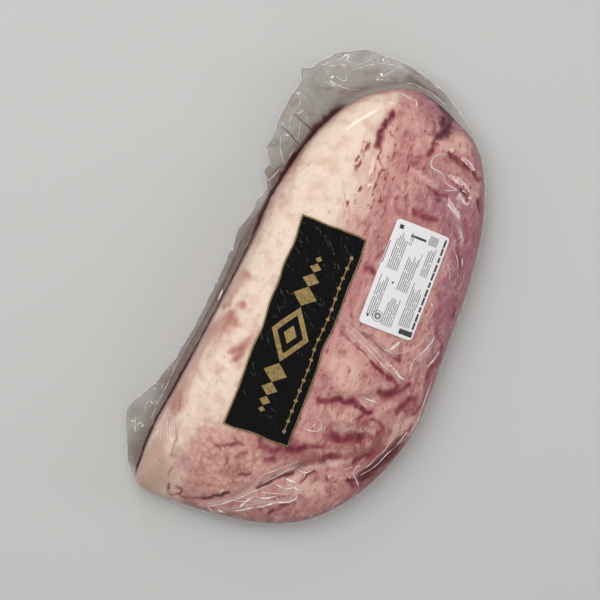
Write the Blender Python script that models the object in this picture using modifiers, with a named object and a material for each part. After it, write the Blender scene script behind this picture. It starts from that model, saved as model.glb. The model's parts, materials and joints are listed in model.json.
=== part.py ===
# A whole beef brisket, vacuum-packed: one bag shrunk tight on the meat, with a loose skirt of film
# along one long side and one end, and two flat labels that lie on its upper face.
# Metres, +Z up. +X runs along the brisket to the end with the loose film, +Y to the side with the
# skirt. The origin is on the floor, under the middle of the pack.

import math

import bpy
import bmesh
import numpy as np
from mathutils import Vector
from mathutils.bvhtree import BVHTree

MM = 0.001

# The widest line of the meat, anticlockwise from the loose end, in mm. Each station gives its place,
# how far the film's skirt reaches past it, the height of the seam there, and the height of the
# skirt's outer edge.
STATIONS = (
    (214, -14, 16, 26, 28),
    (203, 12, 34, 26, 36),
    (183, 36, 46, 25, 42),
    (155, 53, 42, 23, 33),
    (125, 65, 32, 20, 24),
    (95, 72, 20, 17, 15),
    (68, 77, 9, 15, 10),
    (30, 79, 15, 14, 8),
    (-20, 84, 13, 13, 7),
    (-80, 91, 12, 13, 7),
    (-135, 98, 18, 13, 8),
    (-170, 103, 28, 13, 10),
    (-205, 104, 16, 12, 9),
    (-232, 98, 3, 12, 10),
    (-234, 60, 3, 16, 15),
    (-231, 15, 3, 18, 17),
    (-222, -30, 3, 20, 19),
    (-203, -68, 3, 21, 20),
    (-165, -101, 3, 22, 21),
    (-120, -122, 3, 22, 21),
    (-75, -131, 3, 22, 21),
    (-10, -130, 3, 22, 21),
    (60, -128, 3, 23, 22),
    (120, -119, 3, 24, 23),
    (165, -101, 3, 25, 24),
    (190, -80, 4, 25, 24),
    (208, -45, 10, 26, 26),
)
CURVE_STEPS = 16          # points of the smooth outline between two stations
MIDDLE = (-8.0, -12.0)    # the point that the rings of the mesh shrink to, mm
PLAN_CENTRE = (-2.3, -1.8)  # the middle of the pack's box in the stations' own plan, mm
MEAT_RINGS = 20
SKIRT_RINGS = 4
FILM_THICKNESS = 1.2      # both layers of the skirt together, mm

# The upper face before its lumps and furrows, in mm: the height at the middle, how much it gains
# to the loose end, how much it drops to both ends, and its slope up to the fat side.
CROWN = 75.0
CROWN_GAIN = 4.0
CROWN_DROP = 11.0
HALF_LENGTH = 225.0
SIDE_SLOPE = 0.085
# How square the section is: higher is flatter on top and steeper at the side.
SHOULDER = 5.6
SHOULDER_FAT_SIDE = 1.6
WALL = 2.2
FLAT_UNDERSIDE = 0.86     # share of the radius that lies flat on the floor

# Broad lumps and hollows of the muscles under the film: place, height, reach along X and Y, in mm.
LUMPS = (
    (150, -62, 5, 42, 34),
    (-58, -72, 4, 46, 28),
    (-172, 28, 4, 42, 42),
    (70, -22, -4, 70, 20),
    (-20, 62, 3, 120, 22),
    (196, 4, 4, 24, 30),
)
# Furrows between the muscles: depth and half width in mm, then the points that each runs through.
FURROWS = (
    (3.0, 5.0, ((-18, -30), (-47, -102))),
    (4.0, 7.0, ((-88, -32), (-87, -52), (-75, -83), (-58, -103))),
    (3.0, 6.0, ((-119, -54), (-113, -86))),
    (3.5, 6.0, ((-226, 33), (-205, 3), (-187, -11), (-162, -36), (-142, -73))),
    (4.0, 6.0, ((-146, -84), (-95, -120))),
    (2.5, 6.0, ((184, 2), (150, -1), (112, -10))),
    (3.0, 7.0, ((166, -70), (146, -106))),
)

# The skirt's ruffles: rise for each mm of its width, and the two wavelengths along the edge, in mm.
RUFFLE = 0.12
RUFFLE_WAVES = ((31.0, 0.4, 1.0), (19.0, 1.9, 0.55))

# The labels: centre, size along X and Y, corner radius and cells along and across, in mm.
FRONT_LABEL = ((-41.5, 9.5), (207.0, 64.0), 0.6, (24, 8))
WEIGHT_LABEL = ((39.5, -68.0), (103.0, 53.0), 3.0, (12, 6))
LABEL_THICKNESS = 0.3
LABEL_GAP = 0.45          # clear height between the film and a label


def smooth_outline():
    """The stations joined by a closed smooth curve, with the length along it in mm."""
    rows = np.array(STATIONS, dtype=float)
    before, after, next_after = np.roll(rows, 1, 0), np.roll(rows, -1, 0), np.roll(rows, -2, 0)
    points = []
    for step in range(CURVE_STEPS):
        t = step / CURVE_STEPS
        points.append(0.5 * (2 * rows + (after - before) * t
                             + (2 * before - 5 * rows + 4 * after - next_after) * t ** 2
                             + (3 * rows - before - 3 * after + next_after) * t ** 3))
    curve = np.stack(points, axis=1).reshape(-1, rows.shape[1])
    curve = np.vstack([curve, curve[:1]])
    length = np.concatenate([[0.0], np.cumsum(np.hypot(*np.diff(curve[:, :2], axis=0).T))])
    return curve, length


OUTLINE, LENGTH = smooth_outline()


def round_outline(share):
    """Every column of the outline at a share of the way round, one row for each share."""
    along = np.mod(share, 1.0) * LENGTH[-1]
    return np.stack([np.interp(along, LENGTH, column) for column in OUTLINE.T], axis=-1)


def even_section():
    """Radii of the meat's rings and their heights, evenly spaced along a typical section."""
    angle = np.linspace(0.0, math.pi / 2, 400)
    radius = np.sin(angle) ** (2 / SHOULDER)
    height = np.cos(angle) ** (2 / WALL)
    typical_radius, typical_height = 130.0, 50.0
    steps = np.hypot(np.diff(radius) * typical_radius, np.diff(height) * typical_height)
    length = np.concatenate([[0.0], np.cumsum(steps)])
    return np.interp(np.linspace(0.0, length[-1], MEAT_RINGS + 1), length, radius)


def distance_to_line(x, y, points):
    """The distance in mm from each place to a line through the given points."""
    nearest = np.full(x.shape, np.inf)
    for (ax, ay), (bx, by) in zip(points, points[1:]):
        dx, dy = bx - ax, by - ay
        t = np.clip(((x - ax) * dx + (y - ay) * dy) / (dx * dx + dy * dy), 0.0, 1.0)
        nearest = np.minimum(nearest, np.hypot(x - ax - t * dx, y - ay - t * dy))
    return nearest


def upper_face(x, y):
    """The height in mm that the meat's upper face would have if it never rounded down."""
    u = x / HALF_LENGTH
    z = CROWN + CROWN_GAIN * u - CROWN_DROP * u ** 2 + SIDE_SLOPE * y
    for cx, cy, rise, reach_x, reach_y in LUMPS:
        z = z + rise * np.exp(-((x - cx) / reach_x) ** 2 - ((y - cy) / reach_y) ** 2)
    for depth, half_width, points in FURROWS:
        z = z - depth * np.exp(-(distance_to_line(x, y, points) / half_width) ** 2)
    return z


def ring_and_share(column, row):
    """A square grid's place as its ring from the middle and its share of the way round."""
    ring = np.maximum(np.abs(column), np.abs(row))
    safe = np.maximum(ring, 1) * 8.0
    share = np.select(
        [(column == ring), (row == ring), (column == -ring)],
        [row / safe, 0.25 - column / safe, 0.5 - row / safe],
        0.75 + column / safe)
    return ring, share


def bag_points(column, row, upper):
    """Places in mm of one sheet of the bag, from the whole numbers of its square grid."""
    ring, share = ring_and_share(column, row)
    station = round_outline(share)
    ahead, behind = round_outline(share + 0.004), round_outline(share - 0.004)
    tangent = (ahead - behind)[:, :2]
    tangent /= np.hypot(*tangent.T)[:, None]
    outward = np.stack([tangent[:, 1], -tangent[:, 0]], axis=1)
    skirt, seam, edge = station[:, 2], station[:, 3], station[:, 4]

    radius = even_section()[np.minimum(ring, MEAT_RINGS)]
    reach = np.clip((ring - MEAT_RINGS) / SKIRT_RINGS, 0.0, 1.0)
    place = MIDDLE + radius[:, None] * (station[:, :2] - MIDDLE)
    place += outward * (skirt * reach)[:, None]

    half_film = 0.5 * FILM_THICKNESS * (1.0 - reach)
    if upper:
        power = SHOULDER + SHOULDER_FAT_SIDE * outward[:, 1]
        profile = np.clip(1.0 - radius ** power, 0.0, 1.0) ** (1 / WALL)
        z = seam + half_film + (upper_face(place[:, 0], place[:, 1]) - seam - half_film) * profile
    else:
        rounding = np.clip((radius - FLAT_UNDERSIDE) / (1.0 - FLAT_UNDERSIDE), 0.0, 1.0)
        z = (seam - half_film) * (1.0 - np.sqrt(1.0 - rounding ** 2))

    along = share * LENGTH[-1]
    ruffle = sum(rise * np.sin(2 * math.pi * along / wave + phase) for wave, phase, rise in RUFFLE_WAVES)
    level = seam + (edge - seam) * reach + RUFFLE * skirt * reach * ruffle
    side = 1.0 if upper else -1.0
    z = np.where(ring > MEAT_RINGS, level + side * half_film, z)
    return np.column_stack([place - PLAN_CENTRE, z])


def add_sheet(mesh, upper):
    """Adds one sheet of the bag to the mesh, as a square grid bent to the pack's form."""
    half = MEAT_RINGS + SKIRT_RINGS
    verts = bmesh.ops.create_grid(mesh, x_segments=2 * half, y_segments=2 * half, size=1.0)["verts"]
    cells = np.array([(v.co.x, v.co.y) for v in verts]) * half
    column, row = np.round(cells).astype(int).T
    for vert, place in zip(verts, bag_points(column, row, upper)):
        vert.co = Vector(place) * MM
    if not upper:
        faces = {face for vert in verts for face in vert.link_faces}
        bmesh.ops.reverse_faces(mesh, faces=list(faces))


def add_object(name, mesh, collection, material):
    """Makes a named object of a bmesh, with its material, in the pack's collection."""
    data = bpy.data.meshes.new(name)
    mesh.to_mesh(data)
    mesh.free()
    data.materials.append(material)
    data.shade_smooth()
    obj = bpy.data.objects.new(name, data)
    collection.objects.link(obj)
    return obj


def make_material(name, colour, roughness, alpha=1.0):
    material = bpy.data.materials.new(name)
    material.use_nodes = True
    shader = material.node_tree.nodes["Principled BSDF"]
    shader.inputs["Base Color"].default_value = (*colour, 1.0)
    shader.inputs["Roughness"].default_value = roughness
    shader.inputs["Metallic"].default_value = 0.0
    shader.inputs["Alpha"].default_value = alpha
    return material


def make_bag(collection):
    """The meat and the film that is drawn tight on it, as one solid with a thin skirt."""
    mesh = bmesh.new()
    add_sheet(mesh, upper=True)
    add_sheet(mesh, upper=False)
    bmesh.ops.remove_doubles(mesh, verts=mesh.verts, dist=0.00001)
    flat = [face for face in mesh.faces if all(vert.co.z < 0.000001 for vert in face.verts)]
    bmesh.ops.dissolve_faces(mesh, faces=flat, use_verts=False)
    bmesh.ops.triangulate(mesh, faces=mesh.faces, quad_method="SHORT_EDGE", ngon_method="BEAUTY")
    surface = BVHTree.FromBMesh(mesh)
    material = make_material("clear_film_on_raw_beef", (0.60, 0.30, 0.26), 0.25)
    return add_object("sealed_bag", mesh, collection, material), surface


def make_label(name, label, surface, collection, material):
    """A thin label draped on the bag's upper face, with rounded corners and an even thickness."""
    (cx, cy), (length, width), corner, (along, across) = label
    mesh = bmesh.new()
    bmesh.ops.create_grid(mesh, x_segments=along, y_segments=across, size=0.5)
    bmesh.ops.scale(mesh, vec=(length * MM, width * MM, 1.0), verts=mesh.verts)
    corners = [vert for vert in mesh.verts if len(vert.link_edges) == 2]
    bmesh.ops.bevel(mesh, geom=corners, offset=corner * MM, segments=3, affect="VERTICES", profile=0.5)
    shift = ((cx - PLAN_CENTRE[0]) * MM, (cy - PLAN_CENTRE[1]) * MM, 0.0)
    bmesh.ops.translate(mesh, vec=shift, verts=mesh.verts)
    for vert in mesh.verts:
        above = Vector((vert.co.x, vert.co.y, 0.2))
        hit = surface.ray_cast(above, Vector((0.0, 0.0, -1.0)))[0]
        vert.co.z = hit.z + LABEL_GAP * MM
    obj = add_object(name, mesh, collection, material)
    skin = obj.modifiers.new("thickness", "SOLIDIFY")
    skin.thickness = LABEL_THICKNESS * MM
    skin.offset = 1.0
    return obj


def main():
    for obj in list(bpy.data.objects):
        bpy.data.objects.remove(obj, do_unlink=True)
    collection = bpy.data.collections.new("packed_brisket")
    bpy.context.scene.collection.children.link(collection)
    surface = make_bag(collection)[1]
    black = make_material("black_printed_label", (0.012, 0.012, 0.013), 0.5)
    white = make_material("white_paper_label", (0.62, 0.61, 0.61), 0.6)
    make_label("front_label", FRONT_LABEL, surface, collection, black)
    make_label("weight_label", WEIGHT_LABEL, surface, collection, white)


main()
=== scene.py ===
import json
import math

import bpy
import numpy as np
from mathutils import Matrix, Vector, noise
from mathutils.bvhtree import BVHTree

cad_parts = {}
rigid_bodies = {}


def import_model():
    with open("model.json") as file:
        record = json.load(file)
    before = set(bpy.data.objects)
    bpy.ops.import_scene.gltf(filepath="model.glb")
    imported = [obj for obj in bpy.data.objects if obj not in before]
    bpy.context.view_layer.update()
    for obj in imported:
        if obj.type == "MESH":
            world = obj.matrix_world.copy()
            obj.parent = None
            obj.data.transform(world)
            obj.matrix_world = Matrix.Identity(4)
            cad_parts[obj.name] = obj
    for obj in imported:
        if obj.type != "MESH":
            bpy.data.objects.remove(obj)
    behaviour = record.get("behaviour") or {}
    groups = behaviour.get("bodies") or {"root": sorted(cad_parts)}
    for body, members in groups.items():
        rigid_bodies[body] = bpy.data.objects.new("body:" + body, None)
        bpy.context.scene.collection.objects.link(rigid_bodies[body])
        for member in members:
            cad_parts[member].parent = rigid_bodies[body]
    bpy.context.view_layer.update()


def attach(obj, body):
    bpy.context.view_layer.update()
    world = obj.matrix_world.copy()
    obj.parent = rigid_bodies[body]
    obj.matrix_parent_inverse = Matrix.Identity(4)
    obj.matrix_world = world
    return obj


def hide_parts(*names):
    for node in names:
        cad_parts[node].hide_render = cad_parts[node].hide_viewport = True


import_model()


# The brisket: a whole raw slab of beef, trimmed by knife. A broad cap of cream fat runs down one
# long side and bare marbled muscle shows on the other. It is pressed to this form by the bag, and
# its grain runs along the slab, which is +X.

MM = 0.001
PLAN_CENTRE = np.array((-2.3, -1.8))    # middle of the pack's box in the plan that the places use, mm

# The widest line of the meat, anticlockwise from the loose end, in mm: each station gives its place,
# the reach of the film's skirt, the height of the seam, and the height of the skirt's edge.
STATIONS = (
    (214, -14, 16, 26, 28), (203, 12, 34, 26, 36), (183, 36, 46, 25, 42), (155, 53, 42, 23, 33),
    (125, 65, 32, 20, 24), (95, 72, 20, 17, 15), (68, 77, 9, 15, 10), (30, 79, 15, 14, 8),
    (-20, 84, 13, 13, 7), (-80, 91, 12, 13, 7), (-135, 98, 18, 13, 8), (-170, 103, 28, 13, 10),
    (-205, 104, 16, 12, 9), (-232, 98, 3, 12, 10), (-234, 60, 3, 16, 15), (-231, 15, 3, 18, 17),
    (-222, -30, 3, 20, 19), (-203, -68, 3, 21, 20), (-165, -101, 3, 22, 21), (-120, -122, 3, 22, 21),
    (-75, -131, 3, 22, 21), (-10, -130, 3, 22, 21), (60, -128, 3, 23, 22), (120, -119, 3, 24, 23),
    (165, -101, 3, 25, 24), (190, -80, 4, 25, 24), (208, -45, 10, 26, 26),
)
CURVE_STEPS = 16
RING_CENTRE = np.array((-8.0, -12.0))
# The upper face: its height in the middle, its rise to the loose end, its drop to both ends and the half
# length of both, in mm, and its slope across. Then how squarely it rounds down to the seam.
CROWN, CROWN_GAIN, CROWN_DROP, HALF_LENGTH, SIDE_SLOPE = 75.0, 4.0, 11.0, 225.0, 0.085
SHOULDER, SHOULDER_FAT_SIDE, WALL, FLAT_UNDERSIDE = 5.6, 1.6, 2.2, 0.86
# Swellings: a place, a rise and the reach along X and Y. Furrows: a depth, a half width and points.
LUMPS = (
    (150, -62, 5, 42, 34), (-58, -72, 4, 46, 28), (-172, 28, 4, 42, 42),
    (70, -22, -4, 70, 20), (-20, 62, 3, 120, 22), (196, 4, 4, 24, 30),
)
FURROWS = (
    (3.0, 5.0, ((-18, -30), (-47, -102))),
    (4.0, 7.0, ((-88, -32), (-87, -52), (-75, -83), (-58, -103))),
    (3.0, 6.0, ((-119, -54), (-113, -86))),
    (3.5, 6.0, ((-226, 33), (-205, 3), (-187, -11), (-162, -36), (-142, -73))),
    (4.0, 6.0, ((-146, -84), (-95, -120))),
    (2.5, 6.0, ((184, 2), (150, -1), (112, -10))),
    (3.0, 7.0, ((166, -70), (146, -106))),
)
# The skirt's ruffle, as a share of its width, and each wave's length in mm, phase and weight.
RUFFLE = 0.12
RUFFLE_WAVES = ((31.0, 0.4, 1.0), (19.0, 1.9, 0.55))
FILM_THICKNESS = 1.2
# Where the skirt is this narrow, the meat fills the bag further by so much, in mm.
TAUT_SKIRT, FILL_OUT = 3.4, 1.9


def smooth_rows(rows, steps, closed):
    """Rows of numbers joined by a smooth curve that passes through each of them."""
    rows = np.array(rows, dtype=float)
    if closed:
        before, after, later = np.roll(rows, 1, 0), np.roll(rows, -1, 0), np.roll(rows, -2, 0)
    else:
        padded = np.vstack([rows[:1], rows, rows[-1:]])
        before, after, later = padded[:-3], padded[2:-1], padded[3:]
        rows = padded[1:-2]
    t = np.arange(steps)[None, :, None] / steps
    before, here, after, later = (block[:, None, :] for block in (before, rows, after, later))
    curve = 0.5 * (2 * here + (after - before) * t + (2 * before - 5 * here + 4 * after - later) * t ** 2
                   + (3 * here - before - 3 * after + later) * t ** 3)
    curve = curve.reshape(-1, curve.shape[-1])
    last = curve[:1] if closed else later[-1]
    return np.vstack([curve, last])


OUTLINE = smooth_rows(STATIONS, CURVE_STEPS, closed=True)
OUTLINE_LENGTH = np.concatenate([[0.0], np.cumsum(np.hypot(*np.diff(OUTLINE[:, :2], axis=0).T))])


def round_outline(share):
    """Every column of the outline at a share of the way round."""
    along = np.mod(share, 1.0) * OUTLINE_LENGTH[-1]
    return np.stack([np.interp(along, OUTLINE_LENGTH, column) for column in OUTLINE.T], axis=-1)


def outward_at(share):
    """The direction in the plan that points away from the meat, at a share of the way round."""
    tangent = (round_outline(share + 0.004) - round_outline(share - 0.004))[:, :2]
    tangent /= np.hypot(*tangent.T)[:, None]
    return np.stack([tangent[:, 1], -tangent[:, 0]], axis=1)


def section_radii(rings):
    """Radii of the meat's rings, evenly spaced along a typical section."""
    angle = np.linspace(0.0, math.pi / 2, 2000)
    radius, height = np.sin(angle) ** (2 / SHOULDER), np.cos(angle) ** (2 / WALL)
    steps = np.hypot(np.diff(radius) * 130.0, np.diff(height) * 50.0)
    length = np.concatenate([[0.0], np.cumsum(steps)])
    return np.interp(np.linspace(0.0, length[-1], rings + 1), length, radius)


def near_line(x, y, points, half_width):
    """1 on a smooth line through the points and fading to 0 over a few half widths beside it."""
    line = smooth_rows(points, 5, closed=False) if len(points) > 2 else np.array(points, dtype=float)
    margin = 3.0 * half_width
    low, high = line.min(axis=0) - margin, line.max(axis=0) + margin
    close = np.nonzero((x > low[0]) & (x < high[0]) & (y > low[1]) & (y < high[1]))[0]
    nearest = np.full(close.size, 1e9)
    px, py = x[close], y[close]
    for (ax, ay), (bx, by) in zip(line, line[1:]):
        dx, dy = bx - ax, by - ay
        t = np.clip(((px - ax) * dx + (py - ay) * dy) / max(dx * dx + dy * dy, 1e-9), 0.0, 1.0)
        nearest = np.minimum(nearest, np.hypot(px - ax - t * dx, py - ay - t * dy))
    value = np.zeros(x.size)
    value[close] = np.exp(-(nearest / half_width) ** 2)
    return value


def upper_face(x, y):
    """The height that the meat's upper face would have if it never rounded down, in mm."""
    u = x / HALF_LENGTH
    z = CROWN + CROWN_GAIN * u - CROWN_DROP * u ** 2 + SIDE_SLOPE * y
    for cx, cy, rise, reach_x, reach_y in LUMPS:
        z = z + rise * np.exp(-((x - cx) / reach_x) ** 2 - ((y - cy) / reach_y) ** 2)
    for depth, half_width, points in FURROWS:
        z = z - depth * near_line(x, y, points, half_width)
    return z


def keep(mesh, name, values):
    """Stores one number for each point of a mesh, for the material and for later steps."""
    attribute = mesh.attributes.get(name) or mesh.attributes.new(name, "FLOAT", "POINT")
    attribute.data.foreach_set("value", np.asarray(values, dtype=np.float32))


def kept(mesh, name):
    values = np.empty(len(mesh.vertices), dtype=np.float32)
    mesh.attributes[name].data.foreach_get("value", values)
    return values.astype(float)


def places(mesh):
    """The mesh's points in mm, in the plan that the stations use."""
    flat = np.empty(len(mesh.vertices) * 3)
    mesh.vertices.foreach_get("co", flat)
    points = flat.reshape(-1, 3) / MM
    points[:, :2] += PLAN_CENTRE
    return points


def set_places(mesh, points):
    moved = points.copy()
    moved[:, :2] -= PLAN_CENTRE
    mesh.vertices.foreach_set("co", (moved * MM).ravel())
    mesh.update()


def facings(mesh):
    flat = np.empty(len(mesh.vertices) * 3)
    mesh.vertex_normals.foreach_get("vector", flat)
    return flat.reshape(-1, 3)


def add_sheet(rings, skirt_rings, upper):
    """A plane grid whose square rings are bent to the upper or the lower half of the pack's form."""
    half = rings + skirt_rings
    bpy.ops.object.select_all(action="DESELECT")
    bpy.ops.mesh.primitive_grid_add(x_subdivisions=2 * half, y_subdivisions=2 * half, size=2.0)
    sheet = bpy.context.object
    cells = np.empty(len(sheet.data.vertices) * 3)
    sheet.data.vertices.foreach_get("co", cells)
    column, row = np.round(cells.reshape(-1, 3)[:, :2] * half).T
    ring = np.maximum(np.abs(column), np.abs(row))
    edge = np.maximum(ring, 1.0) * 8.0
    share = np.select([column == ring, row == ring, column == -ring],
                      [row / edge, 0.25 - column / edge, 0.5 - row / edge], 0.75 + column / edge)
    station, outward = round_outline(share), outward_at(share)
    skirt, seam, rim = station[:, 2], station[:, 3], station[:, 4]

    radius = section_radii(rings)[np.minimum(ring, rings).astype(int)]
    reach = np.clip((ring - rings) / max(skirt_rings, 1), 0.0, 1.0)
    plan = RING_CENTRE + radius[:, None] * (station[:, :2] - RING_CENTRE)
    filled = FILL_OUT * np.clip((TAUT_SKIRT + 2.5 - skirt) / 2.5, 0.0, 1.0) * radius ** 6
    plan += outward * (skirt * reach + filled * (1.0 - reach))[:, None]
    half_film = 0.5 * FILM_THICKNESS * (1.0 - reach) if skirt_rings else 0.0 * reach
    if upper:
        power = SHOULDER + SHOULDER_FAT_SIDE * outward[:, 1]
        profile = np.clip(1.0 - radius ** power, 0.0, 1.0) ** (1 / WALL)
        z = seam + half_film + (upper_face(*plan.T) - seam - half_film) * profile
    else:
        rounding = np.clip((radius - FLAT_UNDERSIDE) / (1.0 - FLAT_UNDERSIDE), 0.0, 1.0)
        z = (seam - half_film) * (1.0 - np.sqrt(1.0 - rounding ** 2))
    along = share * OUTLINE_LENGTH[-1]
    ruffle = sum(rise * np.sin(2 * math.pi * along / wave + phase) for wave, phase, rise in RUFFLE_WAVES)
    level = seam + (rim - seam) * reach + RUFFLE * skirt * reach * ruffle
    z = np.where(ring > rings, level + (half_film if upper else -half_film), z)

    set_places(sheet.data, np.column_stack([plan, z]))
    keep(sheet.data, "along", along)
    keep(sheet.data, "reach", reach)
    keep(sheet.data, "skirt", skirt)
    keep(sheet.data, "radius", radius)
    keep(sheet.data, "over", np.full(len(ring), 1.0 if upper else 0.0))
    return sheet


def add_pack_form(name, rings, skirt_rings):
    """The closed form of the pack: an upper and a lower sheet, joined where they meet at the rim."""
    upper = add_sheet(rings, skirt_rings, upper=True)
    add_sheet(rings, skirt_rings, upper=False)
    bpy.ops.object.mode_set(mode="EDIT")
    bpy.ops.mesh.select_all(action="SELECT")
    bpy.ops.mesh.flip_normals()
    bpy.ops.object.mode_set(mode="OBJECT")
    upper.select_set(True)
    bpy.context.view_layer.objects.active = upper
    bpy.ops.object.join()
    bpy.ops.object.mode_set(mode="EDIT")
    bpy.ops.mesh.select_all(action="SELECT")
    bpy.ops.mesh.remove_doubles(threshold=0.00001)
    bpy.ops.object.mode_set(mode="OBJECT")
    bpy.ops.object.shade_smooth()
    upper.name = upper.data.name = name
    return upper


def thin_out(piece, spare, ratio):
    """Merges the small faces of a piece where the mask says that nothing fine is needed."""
    group = piece.vertex_groups.new(name="spare")
    for index in np.nonzero(spare)[0]:
        group.add([int(index)], 1.0, "REPLACE")
    bpy.ops.object.select_all(action="DESELECT")
    piece.select_set(True)
    bpy.context.view_layer.objects.active = piece
    decimate = piece.modifiers.new("thin_out", "DECIMATE")
    decimate.ratio = ratio
    decimate.vertex_group = "spare"
    bpy.ops.object.modifier_apply(modifier="thin_out")
    piece.vertex_groups.clear()


def grain(points, size, seed):
    """Smooth noise about 0 for each point, with lumps of about the given size in mm along each axis."""
    scaled = points / np.asarray(size, dtype=float) + seed * 17.31
    return np.array([noise.noise(place) for place in scaled.tolist()])


def ease(low, high, value):
    t = np.clip((value - low) / (high - low), 0.0, 1.0)
    return t * t * (3.0 - 2.0 * t)


def strokes(x, y, rows, widen=1.0):
    """The strongest of several painted lines at each point: each has a half width, a strength and points."""
    value = np.zeros(x.size)
    for half_width, strength, points in rows:
        value = np.maximum(value, strength * near_line(x, y, points, half_width * widen))
    return value


def patches(x, y, rows):
    """The sum of soft oval patches: each has a place, a reach along X and Y and a strength."""
    value = np.zeros(x.size)
    for cx, cy, reach_x, reach_y, strength in rows:
        value += strength * np.exp(-((x - cx) / reach_x) ** 2 - ((y - cy) / reach_y) ** 2)
    return value


MEAT_RINGS = 128
# The size of the pebbles at the lower end and how their height scales, in mm.
PEBBLE, PEBBLE_DEPTH = (5.6, 4.4, 5.6), 2.2
MEAT_INSET = 0.7          # the meat's skin lies this far under the film, mm
# The edge of the fat cap across the slab, as places along X and Y in mm.
FAT_EDGE_X = (-235, -190, -150, -100, 0, 50, 80, 100, 140, 175, 205)
FAT_EDGE_Y = (62, 70, 40, 30, 22, 14, 4, 3, 7, 8, 6)
# Painted lines, as half width in mm, strength and the points that each runs through: dotted streaks of
# red muscle along the grain, seams of darker muscle that also carry painted shade for their furrows,
# slits painted dark as shade under the folds in a juice red, bruised purple, and ridges painted pale
# as a painted highlight along their tops.
GRAIN_STREAKS = (
    (3.0, 1.0, ((182, -2), (176, -2), (167, 1), (161, 2), (153, 0), (147, -1))),
    (1.2, 0.8, ((147, -1), (144, -4), (138, -3))),
    (1.0, 0.7, ((138, -3), (132, -8), (127, -11), (119, -12), (111, -11), (102, -12))),
    (1.0, 0.7, ((150, 8), (145, 8), (138, 9), (131, 8))),
    (1.1, 0.7, ((130, 9), (122, 10), (116, 10))),
    (1.0, 0.6, ((91, 11), (84, 5), (77, -1))),
    (1.0, 0.6, ((98, -15), (87, -16), (75, -18), (65, -21))),
    (1.1, 0.55, ((171, -20), (165, -20))),
    (2.6, 0.5, ((146, -21), (148, -28), (150, -37), (155, -46), (160, -49))),
    (3.2, 0.5, ((147, -29), (144, -36), (143, -44), (143, -48))),
    (1.4, 0.5, ((141, -33), (134, -36), (132, -39))),
    (2.5, 0.5, ((124, -39), (117, -38), (111, -42))),
    (1.7, 0.45, ((118, -32), (111, -36))),
    (1.6, 0.55, ((128, -45), (128, -50))),
    (2.2, 0.45, ((112, -25), (99, -27), (88, -29))),
    (2.2, 0.45, ((98, -38), (94, -42))),
    (1.2, 0.45, ((145, -7), (138, -14), (127, -17), (114, -20))),
    (1.0, 0.6, ((147, 12), (137, 12), (127, 13), (116, 11))),
    (1.0, 0.5, ((110, -20), (101, -21), (88, -24))),
    (1.0, 0.5, ((158, -14), (148, -16), (139, -17))),
    (1.2, 0.5, ((184, -8), (174, -10), (163, -12))),
    (1.0, 0.5, ((188, -19), (178, -23), (163, -26))),
    (1.0, 0.55, ((105, 2), (96, 1), (86, 0))),
)
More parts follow.
